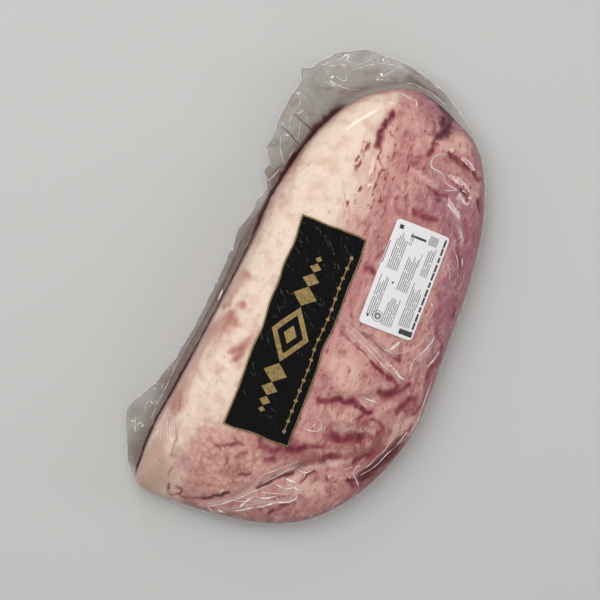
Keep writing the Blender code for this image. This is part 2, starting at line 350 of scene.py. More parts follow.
RED_SEAMS = (
    (1.8, 0.75, ((169, -48), (164, -49), (157, -49))),
    (1.3, 0.6, ((168, -50), (168, -55))),
    (3.8, 0.9, ((164, -67), (162, -76), (161, -84), (160, -89))),
    (2.4, 0.8, ((160, -89), (157, -97), (153, -102))),
    (1.5, 0.6, ((143, -73), (141, -80), (140, -84))),
    (2.2, 0.95, ((138, -89), (135, -94), (132, -97))),
    (2.2, 0.8, ((128, -57), (126, -64), (125, -71), (127, -76))),
    (1.6, 0.6, ((185, -86), (182, -90))),
    (1.5, 0.8, ((199, -64), (194, -67))),
    (3.6, 0.7, ((102, -53), (101, -62), (102, -71), (101, -77))),
    (3.0, 0.7, ((36, -31), (37, -34), (36, -39))),
    (2.6, 0.45, ((55, -37), (48, -36))),
    (2.6, 0.4, ((114, -103), (103, -108), (95, -112))),
    (2.4, 0.4, ((71, -115), (52, -120), (37, -123))),
    (2.4, 0.8, ((33, -124), (24, -126))),
    (1.8, 0.9, ((136, -109), (128, -114))),
    (2.6, 0.7, ((-21, -49), (-22, -58), (-26, -66), (-29, -76), (-32, -84), (-34, -88))),
    (2.0, 0.5, ((-27, -30), (-30, -39), (-36, -53), (-40, -64))),
    (2.6, 0.9, ((-42, -67), (-45, -73), (-49, -83), (-52, -93), (-56, -98))),
    (3.0, 1.0, ((-94, -34), (-90, -43), (-87, -49), (-87, -57), (-84, -64), (-86, -70), (-88, -78),
        (-86, -82))),
    (2.8, 0.6, ((-87, -72), (-90, -77), (-98, -75))),
    (4.2, 0.95, ((-68, -86), (-67, -94), (-60, -100))),
    (2.2, 0.7, ((-60, -100), (-57, -105), (-51, -109))),
    (3.8, 0.65, ((-79, -108), (-71, -111), (-64, -114), (-61, -117))),
    (2.4, 0.8, ((-76, -122), (-72, -126), (-67, -126))),
    (2.8, 0.65, ((-99, -82), (-93, -88), (-94, -96), (-97, -102), (-104, -100), (-108, -96))),
    (4.2, 1.0, ((-120, -58), (-120, -66), (-117, -76), (-113, -85))),
    (3.2, 0.5, ((-121, -50), (-120, -58))),
    (2.4, 0.4, ((-58, -66), (-54, -72))),
    (2.4, 0.55, ((5, -115), (-3, -123))),
    (3.2, 0.45, ((-29, -103), (-29, -108))),
    (2.6, 0.7, ((-29, -88), (-34, -91))),
    (2.2, 0.8, ((-7, -125), (-15, -128), (-22, -127), (-29, -124))),
    (2.4, 0.6, ((-31, -124), (-39, -123))),
    (1.8, 0.5, ((-43, -112), (-46, -116), (-52, -120))),
    (2.2, 0.6, ((-92, -126), (-86, -127))),
    (4.0, 0.9, ((-148, -23), (-145, -29), (-140, -38))),
    (2.6, 0.65, ((-140, -38), (-137, -45), (-134, -53))),
    (4.0, 0.75, ((-147, -56), (-141, -61), (-138, -70))),
    (2.4, 0.8, ((-137, -87), (-131, -93), (-123, -101))),
    (2.0, 0.75, ((-173, -45), (-164, -49), (-159, -54))),
    (2.8, 0.5, ((-153, -63), (-150, -68), (-144, -78))),
    (2.2, 0.5, ((-162, -69), (-157, -64))),
    (2.6, 0.85, ((-155, -88), (-158, -92), (-160, -96))),
    (1.9, 0.9, ((-200, -37), (-197, -43))),
    (3.8, 0.75, ((-147, 3), (-152, -1), (-153, -10), (-149, -16))),
    (3.2, 0.7, ((-164, -8), (-160, -14))),
    (2.4, 0.8, ((-212, -30), (-200, -40))),
    (1.8, 0.6, ((-167, 40), (-165, 33), (-158, 23), (-158, 17))),
    (1.4, 0.5, ((-166, 36), (-171, 33))),
    (1.4, 0.65, ((-170, 19), (-164, 11))),
    (2.2, 0.55, ((-192, 28), (-180, 26), (-175, 27))),
    (2.0, 0.65, ((-186, 10), (-180, 1))),
    (1.6, 0.5, ((-207, 39), (-206, 31))),
    (1.3, 0.36, ((-166, 80), (-177, 76), (-188, 77), (-193, 74), (-195, 71), (-200, 70), (-209, 71),
        (-216, 70), (-224, 68))),
    (1.4, 0.6, ((-220, 68), (-228, 66), (-228, 59), (-223, 57), (-219, 62))),
    (1.6, 0.6, ((-229, 55), (-226, 44), (-221, 34))),
)
# Dark slits: painted shade under the film's folds, in a deep juice red.
DARK_SLITS = (
    (5.5, 1.0, ((-149, -97), (-135, -106), (-119, -114), (-103, -120))),
    (3.0, 0.7, ((-155, -91), (-149, -99))),
    (1.9, 1.0, ((-221, 34), (-217, 27), (-211, 20), (-206, 14))),
    (2.0, 1.0, ((-191, -10), (-183, -17), (-175, -24), (-170, -29), (-166, -35))),
    (2.8, 1.0, ((-147, -94), (-138, -102), (-128, -108), (-116, -114), (-104, -118), (-96, -122))),
    (2.8, 0.8, ((-151, -98), (-143, -106), (-131, -113), (-120, -118), (-106, -124))),
    (1.4, 0.7, ((176, -2), (167, 1), (161, 2))),
    (1.5, 0.6, ((-88, -49), (-88, -57), (-85, -64))),
    (1.5, 0.7, ((138, -90), (134, -94))),
    (1.3, 0.6, ((-166, -35), (-154, -44))),
)
PURPLE_SEAMS = (
    (6.2, 1.0, ((207, -43), (205, -51), (199, -56), (191, -56), (183, -54), (177, -51))),
    (5.0, 1.0, ((195, -50), (189, -51))),
    (2.0, 0.8, ((177, -51), (172, -48))),
    (3.4, 0.55, ((189, -41), (179, -45), (175, -41))),
    (1.9, 0.7, ((214, -20), (212, -28), (209, -34), (207, -43))),
    (3.0, 0.5, ((106, -88), (96, -98), (83, -107), (73, -113))),
    (3.0, 0.6, ((120, -69), (119, -75))),
    (3.0, 0.5, ((-143, -21), (-138, -24))),
    (3.4, 0.4, ((-21, -49), (-22, -58), (-26, -66))),
    (3.0, 0.34, ((-80, 57), (-76, 53), (-70, 46), (-63, 42))),
    (2.4, 0.3, ((-88, 55), (-82, 50), (-78, 46))),
)
# Ridges painted pale along their tops: a painted highlight.
HIGHLIGHT_RIDGES = (
    (3.4, 0.8, ((138, -35), (135, -47), (130, -62))),
    (3.0, 0.6, ((152, -80), (146, -92), (140, -99))),
    (5.5, 0.7, ((171, -61), (180, -69), (178, -78))),
    (5.0, 0.5, ((132, -16), (126, -26), (123, -33))),
    (2.6, 0.8, ((-113, -60), (-107, -79), (-104, -91))),
    (2.6, 0.9, ((-81, -121), (-90, -118), (-102, -111), (-111, -108))),
    (3.0, 0.8, ((-28, -86), (-22, -94), (-16, -100), (-6, -107))),
    (3.0, 0.7, ((-57, -134), (-66, -131), (-76, -130), (-92, -126))),
    (3.4, 0.8, ((-103, -57), (-99, -62), (-100, -69))),
    (7.5, 0.6, ((-55, -36), (-60, -48), (-68, -57))),
    (3.0, 0.5, ((-98, -47), (-98, -56), (-93, -64))),
    (2.2, 0.8, ((-159, -46), (-152, -62), (-143, -75), (-137, -82))),
    (2.4, 0.6, ((-138, -52), (-134, -63), (-128, -77))),
    (2.6, 0.6, ((-133, -34), (-127, -56))),
    (6.0, 0.9, ((-174, -44), (-176, -55), (-172, -67))),
    (5.0, 0.5, ((-179, -66), (-169, -76))),
    (2.6, 0.8, ((-31, -43), (-36, -56), (-41, -67))),
    (2.4, 0.7, ((-41, -79), (-44, -88), (-47, -97))),
    (3.0, 0.6, ((-72, -102), (-80, -95), (-87, -90))),
    (3.0, 0.5, ((-42, -97), (-33, -100), (-24, -100))),
    (3.0, 0.6, ((-71, -87), (-78, -81))),
    (2.4, 0.6, ((-71, -72), (-63, -77), (-58, -84))),
    (9.0, 0.6, ((140, 0), (115, -2), (89, -4))),
    (6.0, 0.5, ((189, 1), (172, 1))),
    (5.0, 0.5, ((75, -12), (58, -14))),
)
ROSE_STREAKS = (
    (2.6, 0.9, ((-43, 83), (-37, 75), (-36, 66), (-39, 58))),
    (2.0, 0.8, ((-58, 44), (-67, 49), (-75, 53), (-81, 59))),
    (1.6, 0.7, ((-67, 49), (-75, 49), (-86, 51))),
    (3.0, 0.5, ((-23, 68), (-30, 69), (-36, 68))),
    (2.0, 0.55, ((-7, 72), (-10, 66), (-15, 63))),
    (3.2, 0.55, ((-47, 70), (-52, 60), (-53, 53))),
    (2.4, 0.6, ((-61, 45), (-70, 50), (-79, 54))),
    (4.0, 0.4, ((-73, 70), (-93, 70), (-113, 71))),
    (3.0, 0.5, ((39, 82), (49, 79), (60, 74))),
    (3.0, 0.4, ((65, 74), (71, 66), (67, 56))),
    (2.4, 0.4, ((121, 67), (109, 67), (98, 68))),
    (3.0, 0.4, ((-138, 83), (-153, 79), (-165, 77))),
    (4.0, 0.5, ((-139, 89), (-154, 87), (-169, 85))),
    (3.0, 0.4, ((-166, 52), (-154, 47), (-146, 42))),
    (2.4, 0.4, ((-179, 55), (-187, 49), (-201, 48))),
    (3.0, 0.4, ((172, 67), (186, 46), (198, 25))),
    (3.6, 0.5, ((191, 20), (202, 9), (208, -2))),
)
# Slanting wrinkles pressed into the fat by the film.
FAT_WRINKLES = (
    (1.2, 0.8, ((90, 72), (98, 58), (112, 47))),
    (1.2, 0.8, ((83, 71), (91, 58), (104, 47))),
    (1.2, 0.7, ((75, 70), (83, 57), (95, 46))),
    (1.2, 0.7, ((100, 68), (106, 58), (118, 49))),
    (1.3, 0.6, ((51, 80), (59, 63), (69, 51))),
    (1.5, 0.8, ((-129, 81), (-136, 68), (-145, 56))),
    (1.6, 1.0, ((-118, 79), (-126, 63), (-137, 50))),
    (1.5, 0.9, ((-108, 78), (-116, 62), (-125, 46))),
    (1.6, 1.0, ((-99, 75), (-105, 60), (-116, 42))),
    (1.5, 0.8, ((-90, 73), (-96, 57), (-102, 43))),
    (1.5, 0.7, ((-82, 72), (-86, 58), (-93, 49))),
    (1.5, 0.6, ((-131, 66), (-140, 52), (-150, 43))),
    (2.2, 1.0, ((-37, 78), (-36, 66), (-39, 53), (-48, 40))),
    (1.6, 0.7, ((-53, 64), (-55, 49), (-61, 39))),
    (1.5, 0.6, ((-24, 75), (-26, 60), (-31, 47))),
    (1.6, 0.6, ((-4, 75), (-8, 59), (-14, 45))),
    (1.6, 0.5, ((18, 76), (13, 57), (7, 41))),
    (1.6, 0.5, ((39, 74), (34, 54), (28, 38))),
    (1.6, 0.5, ((66, 70), (62, 53), (59, 35))),
    (1.5, 0.5, ((83, 67), (80, 48), (76, 30))),
)
# Soft regions of colour: a place, a reach along X and Y in mm and a strength. The rose patches along
# the fat side and the mauve patches along the lean side are partly painted shade on the walls, and the
# pale patches are partly a painted highlight.
ROSE_AND_SHADE_PATCHES = (
    (-56, 71, 13, 9, 0.95), (-78, 50, 9, 7, 0.8), (-64, 43, 8, 6, 0.5), (-90, 86, 22, 8, 0.5),
    (-125, 89, 26, 8, 0.6), (-154, 92, 20, 9, 0.5), (-16, 75, 12, 7, 0.55), (-107, 39, 18, 7, 0.35),
    (53, 73, 34, 8, 0.4), (104, 65, 34, 8, 0.5), (19, 79, 26, 8, 0.45), (165, 53, 26, 8, 0.4),
    (-68, 83, 14, 8, 0.5), (-30, 82, 10, 6, 0.5), (137, 12, 40, 8, 0.35), (-106, 61, 14, 6, 0.25),
    (186, 39, 24, 8, 0.35),
)
TAN_PATCHES = ((-216, 88, 26, 20, 1.0), (-185, 92, 26, 10, 0.5), (-222, 50, 14, 20, 0.4))
MAUVE_AND_SHADE_PATCHES = (
    (118, -91, 40, 10, 0.8), (81, -111, 40, 9, 0.7), (40, -122, 44, 9, 0.9), (-8, -130, 40, 9, 0.9),
    (-48, -130, 30, 8, 0.6), (-148, -109, 26, 10, 0.9), (118, -66, 34, 22, 0.7),
    (60, -112, 70, 14, 0.8), (198, -40, 16, 26, 0.5), (-70, -112, 60, 12, 0.4), (56, -30, 36, 10, 0.5),
    (0, -52, 22, 22, 0.5),
)
PALE_PATCHES = (
    (92, -6, 46, 10, 0.9), (150, -4, 24, 8, 0.6), (-87, -119, 16, 12, 0.6), (-105, -112, 14, 10, 0.3),
    (-58, -48, 30, 18, 0.9), (-178, -42, 22, 16, 0.7), (-150, -72, 20, 12, 0.6),
    (180, -74, 14, 12, 0.6), (110, 2, 60, 10, 0.6), (150, -14, 20, 10, 0.4), (-108, -50, 14, 30, 0.5),
    (-86, -106, 12, 12, 0.5),
)
DUSK_PATCHES = (
    (-186, 73, 12, 10, 0.7), (-217, 6, 18, 8, 0.8), (-206, -48, 30, 7, 0.5), (-150, -110, 22, 9, 0.7),
    (-183, 18, 12, 10, 0.5), (-190, 18, 14, 12, 0.5), (-178, 4, 10, 12, 0.4), (-205, 36, 8, 14, 0.35),
    (-122, -78, 24, 34, 0.8), (-145, -35, 14, 22, 0.5), (-78, -107, 22, 14, 0.5),
    (-97, -46, 12, 24, 0.4), (-151, -12, 14, 14, 0.6), (-158, -50, 14, 24, 0.4),
    (-56, -122, 30, 10, 0.4), (-121, -111, 24, 24, 0.5), (100, -65, 14, 16, 0.5),
    (112, -40, 16, 12, 0.4), (47, -41, 24, 8, 0.35), (145, -38, 10, 14, 0.35), (163, -88, 14, 10, 0.35),
    (-213, -30, 14, 14, 0.5), (-167, -89, 16, 16, 0.4),
)
MOTTLE_PATCHES = ((-186, 26, 36, 36, 1.0), (-165, 50, 20, 14, 0.5), (-164, -6, 18, 14, 0.5))
PLEAT_PATCHES = ((-165, 84, 26, 12, 1.0), (-128, 84, 22, 9, 0.5))

meat = add_pack_form("brisket_meat", MEAT_RINGS, 0)
spots = places(meat.data)
outward = facings(meat.data)
over = kept(meat.data, "over")
radius = kept(meat.data, "radius")
wander = np.column_stack([grain(spots, (12, 9, 12), 1) * 2.4 + grain(spots, (5, 4, 5), 2) * 0.9,
                          grain(spots, (12, 9, 12), 3) * 2.4 + grain(spots, (5, 4, 5), 4) * 0.9])
x, y = (spots[:, :2] + wander).T
plain_x, plain_y = spots[:, 0], spots[:, 1]
across = y - np.interp(x, FAT_EDGE_X, FAT_EDGE_Y) + 10.0 * grain(spots, (34, 12, 20), 5)
breaks = ease(-0.2, 0.3, grain(spots, (5.0, 3.0, 4.0), 6) + 0.1)
broad = [row for row in GRAIN_STREAKS if row[0] > 1.5]
fine = [row for row in GRAIN_STREAKS if row[0] <= 1.5]
streaks = strokes(plain_x, plain_y, broad, 1.3) * (1.0 - 0.4 * (1.0 - breaks))
dots = strokes(x, y, fine, 2.0)
swell = 1.0 + 0.5 * grain(spots, (9, 7, 9), 8)
# Blood in the seams, and the painted shade of the furrows they lie in.
seams = np.maximum(strokes(x, y, RED_SEAMS, 1.1) * swell, 0.4 * strokes(x, y, RED_SEAMS, 2.2))
blood_and_furrow_shade = np.clip(seams + streaks, 0.0, 1.0) * over
mottle = np.clip(patches(plain_x, plain_y, MOTTLE_PATCHES), 0.0, 1.0) * over
pleat = np.clip(patches(plain_x, plain_y, PLEAT_PATCHES), 0.0, 1.0) * over
keep(meat.data, "fat", ease(-30.0, 17.0, across) * (1.0 - 0.5 * mottle))
keep(meat.data, "blood_and_furrow_shade", blood_and_furrow_shade)
keep(meat.data, "dots", dots * over)
keep(meat.data, "purple", strokes(x, y, PURPLE_SEAMS) * over)
veiny = np.clip(0.5 + 0.8 * grain(spots, (9, 7, 9), 11), 0.1, 1.0)
streaked = strokes(plain_x, plain_y, ROSE_STREAKS, 2.0) * veiny * over
blush_and_shade = 0.85 * patches(x, y, ROSE_AND_SHADE_PATCHES) + streaked
# Painted shade: rose laid on round the rim, where the wall turns down.
keep(meat.data, "rose_and_wall_shade", np.clip(blush_and_shade + 0.5 * ease(0.95, 1.0, radius), 0.0, 1.0))
keep(meat.data, "tan", np.clip(patches(x, y, TAN_PATCHES), 0.0, 1.0))
# Painted shade: mauve on the wall of the lean side, where it turns away from the light.
wall_shade = 0.75 * ease(0.93, 0.995, radius) * ease(20.0, -30.0, across)
keep(meat.data, "mauve_and_wall_shade", np.clip(patches(x, y, MAUVE_AND_SHADE_PATCHES) + wall_shade, 0.0, 1.0))
# Paler tissue, and a painted highlight along the ridges and in some patches.
paleness_and_highlight = 0.7 * patches(x, y, PALE_PATCHES) + 0.8 * strokes(x, y, HIGHLIGHT_RIDGES, 1.25)
keep(meat.data, "pale_and_highlight", np.clip(paleness_and_highlight, 0.0, 1.0) * over)
keep(meat.data, "slit_shade", strokes(x, y, DARK_SLITS) * over)
keep(meat.data, "dusk", np.clip(patches(x, y, DUSK_PATCHES), 0.0, 1.0) * over)
keep(meat.data, "mottle", mottle)

pleat_phase = 2 * math.pi * (plain_x * 0.95 + plain_y * 0.2) / 4.6 + 2.0 * grain(spots, (18, 18, 18), 9)
sink = (MEAT_INSET
        + 0.25 * pleat * (1.0 - np.sin(pleat_phase))
        + 1.2 * blood_and_furrow_shade * over
        + PEBBLE_DEPTH * mottle * np.clip(0.3 - np.abs(grain(spots, PEBBLE, 30)), 0.0, 1.0)
        - 0.9 * strokes(plain_x, plain_y, FAT_WRINKLES) * over
        + 0.3 * np.abs(grain(spots, (9, 5, 7), 10)))
set_places(meat.data, spots - outward * sink[:, None])
thin_out(meat, (over < 0.5) & (radius < 0.96), ratio=0.66)


def linear(code, alpha=1.0):
    """An sRGB hex colour as the linear colour that a shader takes."""
    parts = [int(code[i:i + 2], 16) / 255 for i in (0, 2, 4)]
    return (*[c / 12.92 if c <= 0.04045 else ((c + 0.055) / 1.055) ** 2.4 for c in parts], alpha)


def put(tree, kind, sockets=(), **settings):
    """Adds a node with its settings. Sockets pairs an input's name or number with a value or an output."""
    made = tree.nodes.new("ShaderNode" + kind)
    for key, value in settings.items():
        setattr(made, key, value)
    for key, value in dict(sockets).items():
        if isinstance(value, bpy.types.NodeSocket):
            tree.links.new(value, made.inputs[key])
        else:
            made.inputs[key].default_value = value
    return made


def new_material(name):
    material = bpy.data.materials.new(name)
    material.use_nodes = True
    material.node_tree.nodes.clear()
    return material, material.node_tree


def layered(tree, colour, patterns, layers):
    """Lays colours over one another. Each layer has a painted place or none, a pattern and its share in
    the mask, the mask's low and high limit, the layer's strength and its colour."""
    for painted, pattern, share, low, high, strength, code in layers:
        mask = put(tree, "Math", {0: patterns[pattern], 1: 0.5}, operation="SUBTRACT").outputs[0]
        mask = put(tree, "Math", {0: mask, 1: share}, operation="MULTIPLY").outputs[0]
        if painted:
            place = put(tree, "Attribute", attribute_name=painted, attribute_type="GEOMETRY").outputs["Fac"]
            mask = put(tree, "Math", {0: mask, 1: place}, operation="ADD").outputs[0]
        mask = put(tree, "MapRange", {"Value": mask, "From Min": low, "From Max": high, "To Max": strength},
                   interpolation_type="SMOOTHSTEP").outputs["Result"]
        colour = put(tree, "Mix", {0: mask, 6: colour, 7: linear(code)}, data_type="RGBA").outputs[2]
    return colour


# Raw beef and its fat: moist flesh under film. The fat is a warm cream, the muscle a dusty rose with
# paler veins and short dark fibres, and juice gathers dark red in the seams, which also carry painted
# shade for their furrows. Slits are painted dark as shade, ridges partly pale as a painted highlight,
# and the walls partly rose and mauve as painted shade. Grain runs along X.
beef, tree = new_material("raw_beef_and_fat")
where = put(tree, "TexCoord").outputs["Object"]
along_grain = put(tree, "Mapping", {"Vector": where, "Scale": (0.55, 1.0, 1.0)}).outputs["Vector"]
along_fibre = put(tree, "Mapping", {"Vector": where, "Scale": (0.3, 1.0, 1.0)}).outputs["Vector"]
PATTERNS = (
    # name, coordinates, mm from lump to lump, detail, roughness, distortion
    ("clouds", along_grain, 22.0, 6.0, 0.62, 0.3),
    ("blots", along_grain, 8.0, 6.0, 0.72, 0.5),
    ("flecks", along_grain, 3.4, 2.0, 0.5, 0.0),
    ("fibres", along_fibre, 2.6, 3.0, 0.6, 0.2),
    ("lumps", where, 13.0, 3.0, 0.55, 0.0),
)
pattern = {name: put(tree, "TexNoise", {"Vector": vector, "Scale": 1000.0 / size, "Detail": detail,
                                        "Roughness": rough, "Distortion": bend}).outputs["Fac"]
           for name, vector, size, detail, rough, bend in PATTERNS}
lean = layered(tree, linear("cf9c96"), pattern, (
    (None, "clouds", 1.0, -0.14, 0.14, 0.85, "b97c7a"),
    # mauve of the lean, and painted shade on its walls
    ("mauve_and_wall_shade", "clouds", 0.8, 0.15, 0.85, 0.9, "a06878"),
    ("dusk", "clouds", 0.8, 0.15, 0.85, 0.85, "9c5a58"),
    # paler tissue and the painted highlight
    ("pale_and_highlight", "clouds", 0.9, 0.15, 0.95, 0.95, "e0b6a9"),
    (None, "blots", 1.0, 0.00, 0.16, 0.7, "9c5258"),
    (None, "blots", -1.0, 0.01, 0.18, 0.65, "e2baab"),
    (None, "fibres", 1.0, 0.03, 0.24, 0.25, "e8c6b8"),
    (None, "fibres", -1.0, 0.05, 0.22, 0.3, "985756"),
    (None, "flecks", 1.0, 0.11, 0.22, 0.65, "842f3c"),
))
cap = layered(tree, linear("f3dfcd"), pattern, (
    (None, "lumps", 1.0, -0.06, 0.18, 0.8, "e2c2b0"),
    (None, "blots", -1.0, 0.0, 0.2, 0.5, "fcecd9"),
    # rose of the fat, and painted shade on its wall
    ("rose_and_wall_shade", "lumps", 0.5, 0.0, 0.9, 0.9, "c99486"),
    ("rose_and_wall_shade", "clouds", 0.8, 0.3, 1.15, 0.8, "b0726a"),
))
fat_mask = put(tree, "Attribute", attribute_name="fat", attribute_type="GEOMETRY").outputs["Fac"]
for name, share in (("clouds", 0.9), ("fibres", 0.7), ("blots", 0.6)):
    rag = put(tree, "Math", {0: pattern[name], 1: 0.5}, operation="SUBTRACT").outputs[0]
    fat_mask = put(tree, "Math", {0: rag, 1: share, 2: fat_mask}, operation="MULTIPLY_ADD").outputs[0]
fat_mask = put(tree, "MapRange", {"Value": fat_mask, "From Min": 0.05, "From Max": 0.95},
               interpolation_type="SMOOTHSTEP").outputs["Result"]
flesh = put(tree, "Mix", {0: fat_mask, 6: lean, 7: cap}, data_type="RGBA").outputs[2]
flesh = layered(tree, flesh, pattern, (
    ("tan", "clouds", 0.3, 0.2, 0.8, 0.85, "c4a28f"),
    ("mottle", "clouds", 1.2, 0.05, 1.0, 0.8, "e3b4a4"),
))
warped = put(tree, "TexNoise", {"Vector": where, "Scale": 160.0, "Detail": 2.0}).outputs["Color"]
warped = put(tree, "VectorMath", {0: warped, 1: (0.007, 0.007, 0.007), 2: where},
             operation="MULTIPLY_ADD").outputs[0]
cells = put(tree, "TexVoronoi", {"Vector": warped, "Scale": 175.0, "Smoothness": 0.35},
            feature="SMOOTH_F1").outputs["Distance"]
mottled = put(tree, "Attribute", attribute_name="mottle", attribute_type="GEOMETRY").outputs["Fac"]
between = put(tree, "MapRange", {"Value": cells, "From Min": 0.28, "From Max": 0.72},
              interpolation_type="SMOOTHSTEP").outputs["Result"]
uneven = put(tree, "MapRange", {"Value": pattern["clouds"], "From Min": 0.3, "From Max": 0.66, "To Min": 0.2,
                                "To Max": 0.68}).outputs["Result"]
between = put(tree, "Math", {0: between, 1: mottled}, operation="MULTIPLY").outputs[0]
stained = put(tree, "Math", {0: between, 1: uneven}, operation="MULTIPLY").outputs[0]
flesh = put(tree, "Mix", {0: stained, 6: flesh, 7: linear("8c4c48")}, data_type="RGBA").outputs[2]
flesh = layered(tree, flesh, pattern, (
    ("dusk", "blots", 1.0, 0.3, 1.1, 0.5, "8a4d4a"),
    ("dots", "blots", 0.8, 0.2, 1.0, 0.45, "a65a58"),
    ("dots", "flecks", 2.6, 0.4, 0.95, 0.85, "8a2b3b"),
    # blood and the painted shade in the furrows
    ("blood_and_furrow_shade", "blots", 0.8, 0.06, 0.7, 0.85, "93434f"),
    ("blood_and_furrow_shade", "flecks", 0.8, 0.42, 1.05, 0.9, "671d2e"),
    ("purple", "blots", 0.8, 0.12, 0.7, 0.85, "7a3f50"),
    ("purple", "blots", 0.8, 0.45, 1.1, 0.9, "3d1420"),
    # painted shade in the slits
    ("slit_shade", "blots", 0.5, 0.05, 0.9, 0.92, "5a1122"),
))
pebbles = put(tree, "Math", {0: between, 1: -1.2, 2: pattern["blots"]}, operation="MULTIPLY_ADD").outputs[0]
bumps = put(tree, "Bump", {"Strength": 0.5, "Distance": 0.0009, "Height": pebbles}).outputs["Normal"]
shader = put(tree, "BsdfPrincipled", {"Base Color": flesh, "Roughness": 0.55, "IOR": 1.38,
                                      "Specular IOR Level": 0.15, "Normal": bumps})
put(tree, "OutputMaterial", {"Surface": shader.outputs["BSDF"]})
meat.data.materials.clear()
meat.data.materials.append(beef)
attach(meat, "root")
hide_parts("sealed_bag")


# The bag: clear barrier film, heat-sealed and shrunk tight round the meat. It creases where it is
# gathered, and its loose skirt is two layers lying together, ruffled along the fat side and crumpled
# round the end.

FILM_RINGS, FILM_SKIRT_RINGS = 104, 20
# Broad creases that stand up from the tight film: height and half width in mm, and the points of each.
CREASES = (
    (0.6, 1.4, ((-106, 73), (-114, 62), (-121, 50))),
    (0.6, 1.5, ((-98, 68), (-106, 57), (-115, 44))),
    (0.5, 1.4, ((-92, 63), (-99, 50), (-106, 42))),
    (0.6, 1.4, ((-119, 74), (-126, 63), (-137, 51))),
    (0.5, 1.4, ((-131, 76), (-139, 65), (-147, 56))),
    (0.9, 1.8, ((-37, 79), (-38, 66), (-44, 50), (-51, 39))),
    (0.5, 1.4, ((3, 72), (0, 59), (-7, 46))),
    (0.5, 1.4, ((30, 70), (24, 58), (18, 48))),
    (0.5, 1.5, ((71, 68), (67, 50), (66, 36))),
    (0.5, 1.5, ((84, 63), (80, 46), (81, 30))),
    (1.3, 1.9, ((-16, -26), (-22, -40), (-33, -66), (-42, -87), (-48, -100))),
    (1.0, 1.7, ((-12, -28), (-18, -46), (-26, -69), (-38, -91))),
    (0.9, 1.8, ((162, -64), (158, -56), (151, -51), (145, -56), (142, -64), (137, -71), (135, -84))),
    (1.0, 1.9, ((-14, -86), (-23, -83), (-28, -77))),
    (1.6, 2.0, ((-226, 33), (-217, 17), (-205, 3), (-187, -11), (-171, -25), (-162, -36), (-151, -57),
        (-142, -73))),
    (1.5, 1.9, ((-230, 22), (-223, 11), (-204, -18), (-193, -40), (-184, -46))),
    (1.2, 1.7, ((-146, -92), (-136, -99), (-124, -107), (-110, -114), (-98, -120))),
    (1.0, 1.7, ((118, -80), (112, -91), (103, -100), (94, -106), (88, -106))),
    (1.0, 1.8, ((-2, -112), (-10, -113), (-22, -109), (-32, -104), (-38, -104))),
    (0.8, 1.8, ((80, 72), (98, 59), (117, 48))),
    (0.8, 1.8, ((68, 75), (88, 59), (116, 43))),
)
# Soft pale patches painted on the tight film: a painted highlight, the glare of the lamps.
GLARE_PATCHES = (
    (-182, -33, 7, 5, 0.9), (-167, -43, 8, 4, 0.6), (-195, -16, 9, 4, 0.7), (-212, 2, 12, 3, 0.6),
    (-188, -43, 8, 4, 0.5), (-170, -62, 6, 3, 0.5), (-26, -84, 5, 3, 0.7), (-8, -114, 4, 8, 0.6),
    (-78, -81, 5, 3, 0.6), (124, -92, 3, 6, 0.6), (-157, 82, 8, 5, 0.5), (88, 37, 9, 6, 0.5),
)
# Small lobes and notches in the skirt's edge: a place, a reach and how far the edge is pushed out, in mm.
EDGE_BUMPS = (
    (111, 96, 7, 5.0), (101, 88, 5, -5.0), (89, 93, 6, 5.0), (77, 83, 5, -3.0), (63, 88, 6, 3.0),
    (188, 86, 5, 8.0), (182, 80, 5, -3.0), (139, 91, 9, 2.0), (-173, 131, 8, 3.0), (-214, 120, 6, 2.0),
    (30, 96, 8, 1.5), (-111, 104, 9, -2.0),
)
# Regions where the loose film is milky, as places, reaches along X and Y and a strength.
MILK_PATCHES = (
    (188, 58, 10, 14, 0.7), (196, 36, 9, 16, 0.8), (210, 4, 7, 18, 0.7), (204, -42, 14, 10, 0.6),
    (160, 80, 14, 14, 0.45), (128, 82, 16, 10, 0.4), (94, 86, 16, 8, 0.4), (-180, 116, 20, 12, 0.15),
)
# Dark red painted along the seam on the fat side, the painted shadow in the gap between meat and skirt,
# partly trapped juice: at places along X, its strength and its width in mm.
GAP_X = (-232, -218, -110, -98, 28, 42, 112, 126, 168, 182)
GAP_STRENGTH = (0.0, 0.9, 0.9, 0.75, 0.8, 1.0, 1.0, 0.95, 0.9, 0.0)
GAP_WIDTH = (2.4, 2.4, 2.4, 1.7, 1.9, 3.8, 4.0, 4.8, 6.0, 5.0)
# Folds pressed across the loose skirt and round the far flap.
SKIRT_FOLDS = (
    (2.2, 2.2, ((201, 77), (208, 65), (209, 50), (216, 31), (225, 11), (223, -10), (218, -27))),
    (2.4, 2.4, ((182, 80), (185, 66), (188, 53), (197, 35), (208, 14), (212, -4), (215, -28))),
    (1.8, 1.8, ((205, 65), (214, 58), (221, 55))),
    (1.8, 1.8, ((211, 41), (227, 27))),
    (1.6, 1.8, ((219, 19), (232, 3), (228, -11))),
    (1.8, 1.8, ((172, 85), (166, 76), (159, 70))),
    (1.8, 1.8, ((166, 92), (160, 85), (150, 78))),
    (1.8, 1.6, ((139, 89), (123, 66))),
    (1.8, 1.6, ((157, 85), (140, 58))),
    (1.8, 1.8, ((120, 84), (130, 81), (141, 79))),
    (1.8, 1.8, ((119, 81), (107, 74))),
    (1.8, 1.8, ((91, 86), (105, 78))),
)

